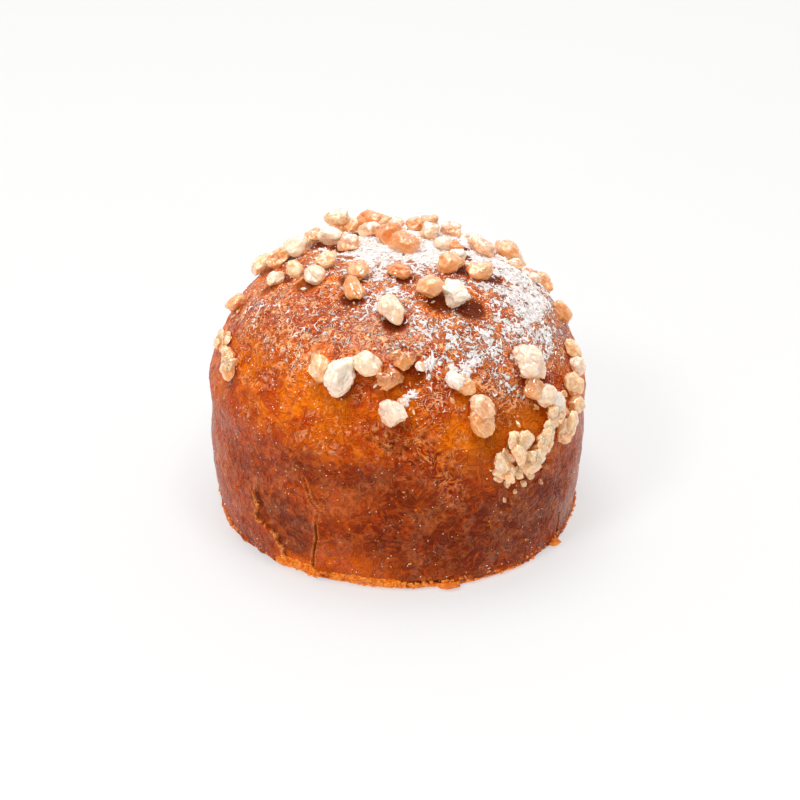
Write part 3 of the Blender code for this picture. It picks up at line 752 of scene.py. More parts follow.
def crust_masks(crust, lumps):
    """What the crust's material needs to know at each point, apart from cracks and rims."""
    points = crust["points"]
    drifts = spots(points, DRIFTS)
    bare = bare_and_shadow_mask(points, lumps)
    tables = {"film_and_sheen": FILMS_AND_SHEEN, "amber": AMBERS, "torn": TORN, "shade": SHADE_AND_BAKE_SPOTS}
    masks = {name: np.clip(spots(points, table), 0.0, 1.0) for name, table in tables.items()}
    masks["film_and_sheen"] *= 1 - BARE_OF_FILM * bare
    masks["bake"], masks["low"] = bake_masks(crust)
    dust = np.clip(drifts, 0.0, MOST_DUST) * with_waves(1.0, points, DUST_WAVES)
    masks["dust"] = np.clip(dust * (1 - BARE_OF_DUST * bare), 0.0, 1.0)
    # The painted shadow below each lump: full on the drifts, weaker away from them
    dusty = BARE_LEAST + (1 - BARE_LEAST) * smooth(drifts, *BARE_DRIFTS)
    masks["bare"] = smooth(bare, *BARE_SHADOW_RAMP) * dusty
    return masks


def scene_object(name, data):
    """A new object in the scene."""
    made = bpy.data.objects.new(name, data)
    bpy.context.scene.collection.objects.link(made)
    return made


def mesh_object(name, points, faces, finish, attributes):
    """A smooth mesh with the given values at its points, riding on the brioche."""
    mesh = bpy.data.meshes.new(name)
    mesh.from_pydata(points, [], faces if isinstance(faces, list) else faces.tolist())
    mesh.validate()
    mesh.materials.append(finish)
    mesh.shade_smooth()
    for label, values in attributes.items():
        values = np.asarray(values, np.float32)
        if values.ndim == 2:
            layer = mesh.attributes.new(label, "FLOAT_COLOR", "POINT")
            rows = np.ones((len(values), 4), np.float32)
            rows[:, :3] = values
            layer.data.foreach_set("color", rows.ravel())
        else:
            mesh.attributes.new(label, "FLOAT", "POINT").data.foreach_set("value", values)
    made = scene_object(name, mesh)
    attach(made, "root")
    return made


def repeated(triangles, forms, corners):
    """The same triangles for each of many forms that have this many corners."""
    starts = np.arange(forms) * corners
    return (np.array(triangles)[None, :, :] + starts[:, None, None]).reshape(-1, 3)


def lip_gap(azimuth, height):
    """1 in the middle of the gap above the loose flap, which is dented and painted with shade, 0 away from
    it.
    """
    first, last = (math.radians(side) for side in LIP_GAP)
    along = smooth(azimuth, first, first + LIP_GAP_SOFTNESS)
    along -= smooth(azimuth, last - LIP_GAP_SOFTNESS, last)
    return along * bell(height, LIP_GAP_HEIGHT, LIP_GAP_SIZE)


def lip_radius(azimuth, height):
    """The lip's radius at a height: it swells from its root to its tip, then draws in to its foot."""
    reach = lip_reach(azimuth)
    tip = BASE_RADIUS + reach + foot_spread(azimuth, LIP_HEIGHT)
    if height > LIP_HEIGHT:
        root = crust_point(azimuth, CRUST_LENGTH - LIP_ROOT_HEIGHT)
        end = math.hypot(root.x, root.y)
        share = ((height - LIP_HEIGHT) / (LIP_ROOT_HEIGHT - LIP_HEIGHT)) ** LIP_ROOT_POWER
    else:
        end = BASE_RADIUS - BASE_BEVEL + BASE_SHARE_OF_LIP * reach + foot_spread(azimuth, 0.0)
        share = (1 - height / LIP_HEIGHT) ** LIP_FOOT_POWER
    return tip + (end - tip) * share - LIP_GAP_DEPTH * lip_gap(azimuth, height)


def lip_rows(azimuths):
    """Rows of points from the root of the lip round it to the edge of the flat base."""
    rows = []
    for row in range(1, LIP_ROWS + 1):
        height = LIP_ROOT_HEIGHT * (1 - row / LIP_ROWS) ** LIP_ROW_POWER
        points = []
        for azimuth in azimuths:
            radius = lip_radius(azimuth, height)
            point = around(azimuth, radius, height)
            crumb = sum(size * noise.noise(point / spacing) for size, spacing in LIP_CRUMBLES)
            lift = LIP_LIFT * noise.noise(point / LIP_LIFT_SPACING + NOISE_ORIGIN) * min(1.0, height / MM)
            points.append(around(azimuth, radius + crumb, height + lift))
        rows.append(points)
    return rows


def grid_faces(columns, rows):
    """Quads between the rows, then a fan at each end, whose points come after the rows."""
    faces = []
    for row in range(rows - 1):
        for column in range(columns):
            after = (column + 1) % columns
            upper, lower = row * columns, (row + 1) * columns
            faces.append((upper + column, lower + column, lower + after, upper + after))
    top, bottom = columns * rows, columns * rows + 1
    last = (rows - 1) * columns
    for column in range(columns):
        after = (column + 1) % columns
        faces.append((top, column, after))
        faces.append((bottom, last + after, last + column))
    return faces


def lip_glow(azimuths, heights):
    """1 where the lip is bright and glows with painted light, 0 on the wall above it."""
    degrees = np.degrees(azimuths)
    glow = np.full(len(degrees), LIP_DULL)
    for azimuth, width, amount in LIP_GLOWS:
        glow = np.maximum(glow, amount * np.exp(-((degrees - azimuth) / width) ** LIP_GLOW_SHARPNESS))
    places = [around(azimuth, BASE_RADIUS, 0.0) for azimuth in azimuths]
    sides, tops = zip(*LIP_TOPS)
    top = np.interp(degrees, sides, tops) * MM + LIP_TOP_WOBBLE * swell(places, LIP_TOP_SPACING, 19.0)
    return glow * smooth(top - heights, -LIP_TOP_SOFTNESS, LIP_TOP_SOFTNESS)


def surface_normals(surface):
    """Normals of the shaped crust at its grid points."""
    grid = surface.reshape(ROWS, COLUMNS, 3)
    across = np.roll(grid, -1, axis=1) - np.roll(grid, 1, axis=1)
    return unit(np.cross(np.gradient(grid, axis=0), across).reshape(-1, 3))


def make_crust(lumps, finish):
    """The crust: one closed mesh in the place of the brioche. Gives back its grid and its masks."""
    azimuths, crust = crust_grid()
    masks = crust_masks(crust, lumps)
    out, masks["crack_shade"], masks["rim"] = fine_relief(crust, masks)
    masks["lip"] = lip_glow(crust["azimuth"], crust["points"][:, 2])
    shaped = crust["points"] + crust["normals"] * out[:, None]
    rows = lip_rows(azimuths)
    lip_heights = np.array([point.z for row in rows for point in row])
    lip_azimuths = np.tile(azimuths, len(rows))
    edge_radii = [math.hypot(point.x, point.y) for point in rows[-1]]
    for share in BASE_RINGS:
        rows.append([around(a, share * r, 0.0) for a, r in zip(azimuths, edge_radii)])
    ends = [crust_point(0.0, 0.0), Vector()]
    points = np.concatenate([shaped, *(np.array(row) for row in rows), np.array(ends)])
    below = {name: np.zeros(len(points) - len(shaped)) for name in masks}
    below["bake"][:] = 1.0
    below["lip"][:len(lip_heights)] = lip_glow(lip_azimuths, lip_heights)
    below["crack_shade"][:len(lip_heights)] = lip_gap(lip_azimuths, lip_heights)
    full = {name: np.concatenate([values, below[name]]) for name, values in masks.items()}
    full["dust"][-2], full["bake"][-2] = 1.0, 0.0
    made = mesh_object("crust", points, grid_faces(COLUMNS, ROWS + len(rows)), finish, full)
    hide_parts("brioche")
    return {**crust, **masks, "surface": shaped, "facing": surface_normals(shaped)}


def directions(dice, count):
    """Random unit vectors."""
    return [Vector([dice.gauss(0, 1) for _ in range(3)]).normalized() for _ in range(count)]


def ball(detail):
    """Points, as unit vectors, and triangles of a ball."""
    form = bmesh.new()
    bmesh.ops.create_icosphere(form, subdivisions=detail, radius=1.0)
    ways = np.array([vertex.co.normalized() for vertex in form.verts])
    triangles = np.array([[vertex.index for vertex in face.verts] for face in form.faces])
    form.free()
    return ways, triangles


def moved(form, matrix):
    """The form's points after the matrix has turned, scaled and moved them."""
    turned = np.array(matrix)
    return form @ turned[:3, :3].T + turned[:3, 3]


def ripple(ways, fineness, shift):
    """Smooth noise from about -1 to 1 along each way."""
    return np.array([noise.noise(Vector(way) * fineness + shift) for way in ways])


def knob(ways, way, sharpness):
    """1 towards one way, and a smooth fall around it."""
    return np.exp(sharpness * (ways @ np.array(way) - 1))


def cut(reach, ways, sides, depths):
    """A form cut by flat sides: its reach along each way, and 1 where two sides meet."""
    facing = ways @ np.array(sides).T
    nearly = np.maximum(facing, CRYSTAL_LEAST_FACING)
    reaches = np.where(facing > CRYSTAL_LEAST_FACING, np.array(depths) / nearly, NO_SIDE)
    reaches = np.sort(np.column_stack([reaches, reach]), axis=1)
    return reaches[:, 0], np.exp(-(reaches[:, 1] - reaches[:, 0]) / EDGE_WIDTH)


def crystal(dice, ways):
    """Points of a crystal of radius 1, bounded by flat sides, and how near each is to an edge."""
    sides = directions(dice, CRYSTAL_SIDES)
    depths = [dice.uniform(*CRYSTAL_DEPTHS) for _ in sides]
    reach, edge = cut(np.full(len(ways), CRYSTAL_REACH), ways, sides, depths)
    shift = Vector((dice.uniform(0, 90), 0.0, 0.0))
    grain = sum(height * ripple(ways, fineness, shift) for fineness, height in CRYSTAL_GRAIN)
    return ways * (reach - CRYSTAL_EDGE_CUT * edge + grain)[:, None], edge


def cluster(dice, count):
    """Points, triangles, creases and edges of several crystals grown together to a lump."""
    ways, triangles = ball(CRYSTAL_DETAIL)
    points, edges, centres, sizes = [], [], [], []
    for number in range(count):
        form, edge = crystal(dice, ways)
        turn = Matrix.Rotation(dice.uniform(0, 2 * math.pi), 3, "Z")
        turn = turn @ Matrix.Rotation(dice.gauss(0, CRYSTAL_TILT), 3, "X")
        size = np.array(CRYSTAL_SHAPE) * dice.uniform(*CRYSTAL_SIZES)
        way = number * CRYSTAL_TURN_STEP + dice.uniform(-CRYSTAL_TURN_SPREAD, CRYSTAL_TURN_SPREAD)
        reach = CLUSTER_SPREAD * math.sqrt((number + CLUSTER_START) / count)
        centre = np.array((reach * math.cos(way), reach * math.sin(way), dice.uniform(*CRYSTAL_HEIGHTS)))
        points.append((form * size) @ np.array(turn).T + centre)
        edges.append(edge)
        centres.append(centre)
        sizes.append(size.mean())
    points = np.concatenate(points)
    away = np.linalg.norm(points[:, None, :] - np.array(centres), axis=2) / np.array(sizes)
    second = np.sort(away, axis=1)[:, 1]
    creased = np.exp(-np.clip((second - JOINT_START) / JOINT_WIDTH, 0.0, None) ** 2)
    edges = np.concatenate(edges) * (1 - JOINT_EDGE_LOSS * creased)
    return points, repeated(triangles, count, len(ways)), creased, edges


def lump_form(dice, ways, number, folded=0.0):
    """Points of a lump of radius 1: flat sides and knobs as on the solid, then its crystals and grain."""
    sides = directions(dice, LUMP_FACETS)
    depths = [dice.uniform(*LUMP_FACET_DEPTHS) for _ in sides]
    knobs = directions(dice, LUMP_KNOBS)
    reach, edge = cut(np.ones(len(ways)), ways, sides, depths)
    for way in knobs:
        reach += LUMP_KNOB_HEIGHT * knob(ways, way, LUMP_KNOB_SHARPNESS)
    detail = random.Random(number)
    faces = directions(detail, LUMP_FACES)
    reach, fine_edge = cut(reach, ways, faces, [detail.uniform(*FACE_DEPTHS) for _ in faces])
    edge = np.maximum(edge, fine_edge)
    for way in directions(detail, LUMP_DENTS):
        reach -= DENT_DEPTH * knob(ways, way, DENT_SHARPNESS)
    centres = np.array(directions(detail, LUMP_CRYSTALS))
    angles = np.arccos(np.clip(ways @ centres.T, -1.0, 1.0))
    order = np.argsort(angles, axis=1)
    first, second = np.sort(angles, axis=1)[:, :2].T
    crease = np.exp(-(second - first) / CREASE_WIDTH)
    steps = np.array([detail.uniform(-CRYSTAL_STEP, CRYSTAL_STEP) for _ in centres])
    reach += steps[order[:, 0]] * (1 - crease) - CREASE_DEPTH * crease
    shift = Vector([number * step for step in GRAIN_ORIGIN_STEP])
    for fineness, height in GRAIN_HEIGHTS:
        reach += height * ripple(ways, fineness, shift)
    if folded:
        folds = np.exp(-np.abs(ripple(ways, FOLD_FINENESS, -shift)) / FOLD_WIDTH)
        edges = np.abs(ripple(ways, FOLD_EDGE_FINENESS, -shift))
        raised = FOLD_EDGES * (0.5 - FOLD_EDGE_SLOPE * edges)
        reach += folded * (FOLD_RAISE - FOLD_DEPTH * folds + raised)
        crease = np.maximum(crease, folds)
    return ways * reach[:, None] * LUMP_GROWTH, crease, edge * (1 - crease)


def set_down(place, lift, half, spin, tilt, axis):
    """The matrix that sets a form of radius 1 down on the crust, at a half size and turned twice."""
    point, along, across, normal = crust_frame(*place)
    axes = Matrix((along, across, normal)).transposed()
    axes = axes @ Matrix.Rotation(spin, 3, "Z") @ Matrix.Rotation(tilt, 3, axis)
    return Matrix.Translation(point + normal * lift) @ axes.to_4x4() @ Matrix.Diagonal(half).to_4x4()


def place_lump(dice, place, length, width, turn, tint, lift):
    """Where a lump sits; its random draws come in the same order as in the solid."""
    size = dice.uniform(1 - LUMP_SIZE_SPREAD, 1 + LUMP_SIZE_SPREAD)
    tilt = math.radians(dice.uniform(-LUMP_TILT, LUMP_TILT))
    spin = math.radians(turn + dice.uniform(-LUMP_TURN_SPREAD, LUMP_TURN_SPREAD))
    half = Vector((length, width, width * LUMP_THICKNESS)) * size / 2
    matrix = set_down(place, half.z * (1 - 2 * LUMP_SUNK) + lift, half, spin, tilt, "X")
    point, along, across, _ = crust_frame(*place)
    bare = point + along * BARE_BELOW * width + across * BARE_BESIDE * width
    return {"place": place, "width": width, "tint": tint, "matrix": matrix, "bare": bare}


def back_places(dice):
    """Places for the lumps at the back, kept clear of each other."""
    found = []
    while len(found) < BACK_LUMPS:
        place = math.radians(dice.uniform(*BACK_AZIMUTHS)), dice.uniform(*BACK_DISTANCES)
        point = crust_point(*place)
        if all((point - crust_point(*other)).length > LUMP_CLEARANCE for other in found):
            found.append(place)
    return found


def shape_lumps():
    """Every lump's place and its points, in the solid's order."""
    dice = random.Random(SCATTER_SEED)
    ways, triangles = ball(LUMP_DETAIL)
    lumps = []

    def add(place, length, width, turn, tint, lift=0.0):
        lump = place_lump(dice, place, length, width, turn, tint, lift)
        form, lump["crease"], lump["edge"] = lump_form(dice, ways, len(lumps), FOLDED.get(tint, 0.0))
        lump["faces"] = triangles
        if tint in CLUSTERS:
            grown = cluster(random.Random(CLUSTER_SEED + len(lumps)), CLUSTERS[tint])
            form, lump["faces"], lump["crease"], lump["edge"] = grown
            form = form * CLUSTER_SCALES[tint]
        lump["points"] = moved(form, lump["matrix"])
        way_up = unit(lump["points"] - np.array(lump["matrix"].translation))[:, 2]
        dusted = min(spots(lump["points"][:1], DRIFTS)[0] + POWDER_BONUS, 1.0)
        lump["powder"] = smooth(way_up, *POWDERED) * dusted
        lump["under"] = 1 - smooth(way_up, *UNDERSIDE)
        lump["pale"] = np.full(len(form), PALENESS.get(tint, 1.0))
        lump["stain"] = np.full(len(form), STAINS.get(tint, 1.0))
        lumps.append(lump)

    for length, width, turn, tints, *ends in SUGAR_RUNS:
        azimuth, down, last_azimuth, last_down = ends if len(ends) == 4 else ends * 2
        for number, tint in enumerate(tints):
            share = number / max(len(tints) - 1, 1)
            way = math.radians(azimuth + (last_azimuth - azimuth) * share)
            place = way, (down + (last_down - down) * share) * MM
            add(place, length * MM, width * MM, turn, tint)
    for azimuth, down, length, width, turn, lift, tint in HEAPED_LUMPS:
        add((math.radians(azimuth), down * MM), length * MM, width * MM, turn, tint, lift * MM)
    for place, tint in zip(back_places(dice), BACK_TINTS):
        length = dice.uniform(*BACK_LENGTHS)
        width = length * dice.uniform(*BACK_WIDTHS)
        add(place, length, width, dice.uniform(0, 180), tint)
    return lumps


def make_sugar(lumps, finish):
    """The lumps, joined to one piece for each kind of sugar."""
    for name in sorted({piece for piece, _ in TINTS.values()}):
        points, faces = [], []
        values = {label: [] for label in ("tint", "number", *LUMP_VALUES)}
        for index, lump in enumerate(lumps):
            piece, colour = TINTS[lump["tint"]]
            if piece != name:
                continue
            count = len(lump["points"])
            faces.append(lump["faces"] + sum(len(part) for part in points))
            points.append(lump["points"])
            values["tint"].append(np.tile(colour, (count, 1)))
            values["number"].append(np.full(count, (index * NUMBER_STEP) % 1.0))
            for label in LUMP_VALUES:
                values[label].append(lump[label])
        values = {label: np.concatenate(parts) for label, parts in values.items()}
        made = mesh_object(name, np.concatenate(points), np.concatenate(faces), finish, values)


def make_splinters(lumps, finish):
    """Chips of sugar, and small splinters that lie round the lumps, most of them below."""
    ways, triangles = ball(SPLINTER_DETAIL)
    dice = random.Random(SPLINTER_SEED)
    forms = [crystal(dice, ways) for _ in range(SPLINTER_FORMS)]
    points, tints, edges = [], [], []

    def add(place, half, turn, tint):
        form, edge = forms[len(points) % SPLINTER_FORMS]
        lift = half.z * SPLINTER_LIFT
        points.append(moved(form, set_down(place, lift, half, turn, dice.gauss(0, SPLINTER_TILT), "Y")))
        tints.append(np.tile(TINTS[tint][1], (len(ways), 1)))
        edges.append(edge)

    for azimuth, down, size, turn, tint in CHIPS:
        half = Vector(CHIP_SHAPE) * size * MM
        add((math.radians(azimuth), down * MM), half, math.radians(turn), tint)
    for _ in range(SPLINTERS):
        lump = dice.choice(lumps)
        turn = dice.gauss(0.0, SPLINTER_SPREAD)
        reach = lump["width"] * dice.uniform(*SPLINTER_REACHES)
        azimuth, down = lump["place"]
        azimuth += math.sin(turn) * reach / max(outline_at(down)[0], FRAME_STEP)
        size = dice.uniform(*SPLINTER_SIZES)
        half = size * Vector([dice.uniform(*share) for share in SPLINTER_SHAPES])
        add((azimuth, down + math.cos(turn) * reach), half, dice.uniform(0, math.pi), lump["tint"])
    count = len(ways) * len(points)
    values = {label: np.full(count, value) for label, value in SPLINTER_VALUES.items()}
    values.update(tint=np.concatenate(tints), edge=np.concatenate(edges))
    faces = repeated(triangles, len(points), len(ways))
    made = mesh_object("sugar_splinters", np.concatenate(points), faces, finish, values)


def pick_places(crust, dice, weight, count):
    """Indices of crust points, drawn by weight times the area that each point stands for."""
    chance = np.clip(weight, 0.0, None) * crust["radius"]
    return dice.choice(len(chance), size=count, p=chance / chance.sum())


def tangents(normals, dice):
    """Two unit vectors along the surface at each normal, turned at random."""
    helper = dice.normal(size=normals.shape)
    first = unit(np.cross(normals, helper))
    return first, np.cross(normals, first)


def burst_places(dice):
    """Places of the flakes in the bursts, and the way that each one faces."""
    places, ways = [], []
    for azimuth, down, reach, count in BURSTS:
        point, *axes = (np.array(part) for part in crust_frame(math.radians(azimuth), down * MM))
        offsets = dice.normal(0.0, BURST_SPREAD * reach * MM, (count, 3)) * (1.0, 1.0, BURST_FLATNESS)
        places.append(point + (offsets + (0.0, 0.0, BURST_LIFT)) @ np.array(axes))
        ways.append(unit(axes[2] + dice.normal(0.0, BURST_SPREAD, (count, 3))))
    return np.concatenate(places), np.concatenate(ways)


def make_flakes(crust, finish):
    """Short bent flakes of icing sugar: single ones that lie on the crust, and bursts of larger ones."""
    dice = np.random.default_rng(FLAKE_SEED)
    share, loss = FLAKE_SHARES
    weight = crust["dust"] ** FLAKE_CROWDING * (share - loss * crust["dust"]) * (1 - crust["bake"])
    chosen = pick_places(crust, dice, weight, FLAKES)
    places, ways = burst_places(dice)
    centre = np.concatenate([crust["surface"][chosen], places])
    normal = np.concatenate([crust["facing"][chosen], ways])
    count = len(centre)
    scale = np.where(np.arange(count) < FLAKES, 1.0, BURST_SCALE)[:, None]
    along, across = tangents(normal, dice)

    def draw(low, high):
        return dice.uniform(low, high, (count, 1))

    centre = centre + along * draw(-FLAKE_SHIFT, FLAKE_SHIFT) * MM
    centre = centre + across * draw(-FLAKE_SHIFT, FLAKE_SHIFT) * MM
    length, width = draw(*FLAKE_LENGTHS) * scale, draw(*FLAKE_WIDTHS) * scale
    height, bend = draw(*FLAKE_HEIGHTS) * scale, draw(-FLAKE_BEND, FLAKE_BEND)
    rings = []
    for station in np.linspace(-1.0, 1.0, FLAKE_STATIONS):
        middle = centre + along * length / 2 * station
        middle = middle + across * bend * length / 2 * (station ** 2 - FLAKE_MIDDLE)
        taper = FLAKE_TIP + (1 - FLAKE_TIP) * math.sqrt(1 - station ** 2)
        wide = across * width * taper * draw(*FLAKE_WIDTH_SPREAD)
        foot = middle - normal * FLAKE_SUNK
        rings += [foot - wide, foot + wide, middle + normal * height * taper * draw(*FLAKE_HEIGHT_SPREAD)]
    points = np.stack(rings, axis=1).reshape(-1, 3)
    end = 3 * FLAKE_STATIONS - 3
    faces = []
    for low in range(0, end, 3):
        for side, after in ((0, 1), (1, 2), (2, 0)):
            faces.append((low + side, low + after, low + 3 + after))
            faces.append((low + side, low + 3 + after, low + 3 + side))
    faces += [(0, 2, 1), (end, end + 1, end + 2)]
    made = mesh_object("icing_sugar_flakes", points, repeated(faces, count, end + 3), finish, {})


def make_grains(crust, finish):
    """Single crystals of icing sugar: on the drifts, and a few specks on the wall and the lip."""
    dice = np.random.default_rng(GRAIN_SEED)
    weight = crust["dust"] + GRAINS_ANYWHERE + GRAINS_BY_LIP * (crust["down"] > CRUST_LENGTH - BY_LIP)
    chosen = pick_places(crust, dice, weight, GRAINS)
    normal = crust["facing"][chosen]
    along, across = tangents(normal, dice)
    size = dice.uniform(*GRAIN_SIZES, (GRAINS, 1))
    centre = crust["surface"][chosen] + normal * size * GRAIN_LIFT
    centre = centre + along * dice.uniform(-GRAIN_SHIFT, GRAIN_SHIFT, (GRAINS, 1)) * MM
    corners = [
        centre + way * size * dice.uniform(*GRAIN_SPREAD, (GRAINS, 1))
        for way in (along, across, -along, -across, normal, -normal)
    ]
    points = np.stack(corners, axis=1).reshape(-1, 3)
    made = mesh_object("icing_sugar_grains", points, repeated(GRAIN_FACES, GRAINS, 6), finish, {})


def make_crumbs(finish):
    """The loose flaps at the base, and crumbs along the lip and on the wall."""
    ways, triangles = ball(CRUMB_DETAIL)
    dice = random.Random(SCATTER_SEED + 1)
    points = []
    for number, (degrees, length, reach) in enumerate(FLAPS):
        azimuth = math.radians(degrees)
        form, _, _ = lump_form(dice, ways, FLAP_NUMBERS + number)
        radius = BASE_RADIUS + foot_spread(azimuth, FLAP_HEIGHT) + FLAP_CENTRE * reach
        half = Vector((length / 2, reach, FLAP_THICKNESS / 2))
        place = Matrix.Translation(around(azimuth, radius, FLAP_HEIGHT)) @ Matrix.Rotation(azimuth, 4, "Z")
        points.append(moved(form, place @ Matrix.Diagonal(half).to_4x4()))
    dice = random.Random(CRUMB_SEED)
    forms = [lump_form(dice, ways, CRUMB_NUMBERS + number)[0] for number in range(CRUMB_FORMS)]
    for number in range(LIP_CRUMBS + WALL_CRUMBS):
        azimuth = dice.uniform(-math.pi, math.pi)
        if number % CRUMBS_PER_FRONT_ONE == 0:
            azimuth = dice.gauss(CRUMB_AZIMUTH, CRUMB_AZIMUTH_SPREAD)
        size = dice.uniform(*CRUMB_SIZES)
        if number < LIP_CRUMBS:
            height = dice.uniform(*LIP_CRUMB_HEIGHTS) * MM
            radius = BASE_RADIUS + LIP_CRUMB_REACH * lip_reach(azimuth) + foot_spread(azimuth, height)
            centre = around(azimuth, radius, height)
        else:
            centre = crust_point(azimuth, CRUST_LENGTH - dice.uniform(*WALL_CRUMB_RAISES) * MM)
            size *= WALL_CRUMB_SCALE
        spin = Matrix.Rotation(dice.uniform(0, 2 * math.pi), 4, dice.choice("XYZ"))
        half = Vector((size, *(size * dice.uniform(*share) for share in CRUMB_SHAPES)))
        matrix = Matrix.Translation(centre) @ spin @ Matrix.Diagonal(half).to_4x4()
        points.append(moved(forms[number % CRUMB_FORMS], matrix))
    faces = repeated(triangles, len(points), len(ways))
    made = mesh_object("crust_crumbs", np.concatenate(points), faces, finish, {})


class Shading:
    """The nodes of a material or world, added one call at a time. Sizes of patterns are in millimetres."""

    def __init__(self, owner, shader="Principled BSDF"):
        owner.use_nodes = True
        self.owner, self.tree = owner, owner.node_tree
        self.shader = self.tree.nodes[shader]
        self.place = None

    def put(self, value, socket):
        """Links a node's output to a socket, or sets the socket to a number or colour."""
        if isinstance(value, bpy.types.NodeSocket):
            self.tree.links.new(value, socket)
        elif socket.type == "RGBA":
            socket.default_value = (*value, 1.0)
        else:
            socket.default_value = value

    def node(self, kind, output, sockets, **settings):
        """A new node's output; sockets gives its inputs by name or number, and settings its choices."""
        made = self.tree.nodes.new("ShaderNode" + kind)
        for name, value in settings.items():
            setattr(made, name, value)
        for name, value in sockets.items():
            self.put(value, made.inputs[name])
        return made.outputs[output]

    def set(self, **values):
        """Sets the shader's own sockets; an underscore stands for a space."""
        for name, value in values.items():
            self.put(value, self.shader.inputs[name.replace("_", " ")])

    def finished(self, **values):
        """The material with its shader set. Its glow is too faint to be sampled as a light."""
        self.set(**values)
        self.owner.cycles.emission_sampling = "NONE"
        return self.owner

    def attribute(self, name, output="Fac"):
        """A value that the mesh has at its points."""
        return self.node("Attribute", output, {}, attribute_name=name)

    def shifted(self, shift, stretch=(1.0, 1.0, 1.0)):
        """The place on the object, stretched and shifted, so that patterns differ."""
        if self.place is None:
            sockets = {0: self.node("TexCoord", "Object", {}), "Scale": 1 / MM}
            self.place = self.node("VectorMath", 0, sockets, operation="SCALE")
        sockets = {"Vector": self.place, "Scale": stretch, "Location": (shift, 2 * shift, -shift)}
        return self.node("Mapping", "Vector", sockets)

    def noise(self, size, distortion=0.0, shift=0.0, detail=2.0, rough=0.5, stretch=(1.0, 1.0, 1.0)):
        """A cloudy pattern from 0 to 1."""
        return self.node("TexNoise", "Fac", {
            "Scale": 1 / size, "Detail": detail, "Roughness": rough, "Distortion": distortion,
            "Vector": self.shifted(shift, stretch),
        })

    def cells(self, size, shift):
        """How far away the nearest of many scattered places is, as a share of the size."""
        sockets = {"Scale": 1 / size, "Vector": self.shifted(shift)}
        return self.node("TexVoronoi", "Distance", sockets)

    def math(self, operation, *values, clamp=False):
        """The result of one operation of the Math node."""
        return self.node("Math", 0, dict(enumerate(values)), operation=operation, use_clamp=clamp)

    def less(self, first, second):
        """The first value less the second."""
        return self.math("SUBTRACT", first, second)

    def times(self, first, *others):
        """The product of several values."""
        for other in others:
            first = self.math("MULTIPLY", first, other)
        return first

    def line(self, value, slope, base):
        """The value times the slope, plus the base."""
        return self.math("MULTIPLY_ADD", value, slope, base)

    def rise(self, value, low, high):
        """0 below low, 1 above high, and a smooth rise between them."""
        sockets = {"Value": value, "From Min": low, "From Max": high}
        return self.node("MapRange", "Result", sockets, interpolation_type="SMOOTHSTEP")

    def fall(self, value, low, high):
        """1 below low, 0 above high, and a smooth fall between them."""
        return self.less(1.0, self.rise(value, low, high))

    def offset(self, size, shift, distortion):
        """How far a noise is from its middle value: small along winding lines."""
        return self.math("ABSOLUTE", self.less(self.noise(size, distortion, shift, 1.0), 0.5))

    def mix(self, amount, first, second):
        """The first colour or the second one, by an amount from 0 to 1."""
        return self.node("Mix", 2, {"Factor": amount, 6: first, 7: second}, data_type="RGBA")

    def layers(self, colour, *rows):
        """The colour with tints laid over it in turn. A row is a tint and the amounts to multiply."""
        for tint, *amounts in rows:
            colour = self.mix(self.times(*amounts), colour, tint)
        return colour

    def bump(self, height, distance, strength=1.0):
        """Fine relief, given as a height pattern from 0 to 1 that stands for distance in metres."""
        sockets = {"Strength": strength, "Distance": distance, "Height": height}
        return self.node("Bump", "Normal", sockets)


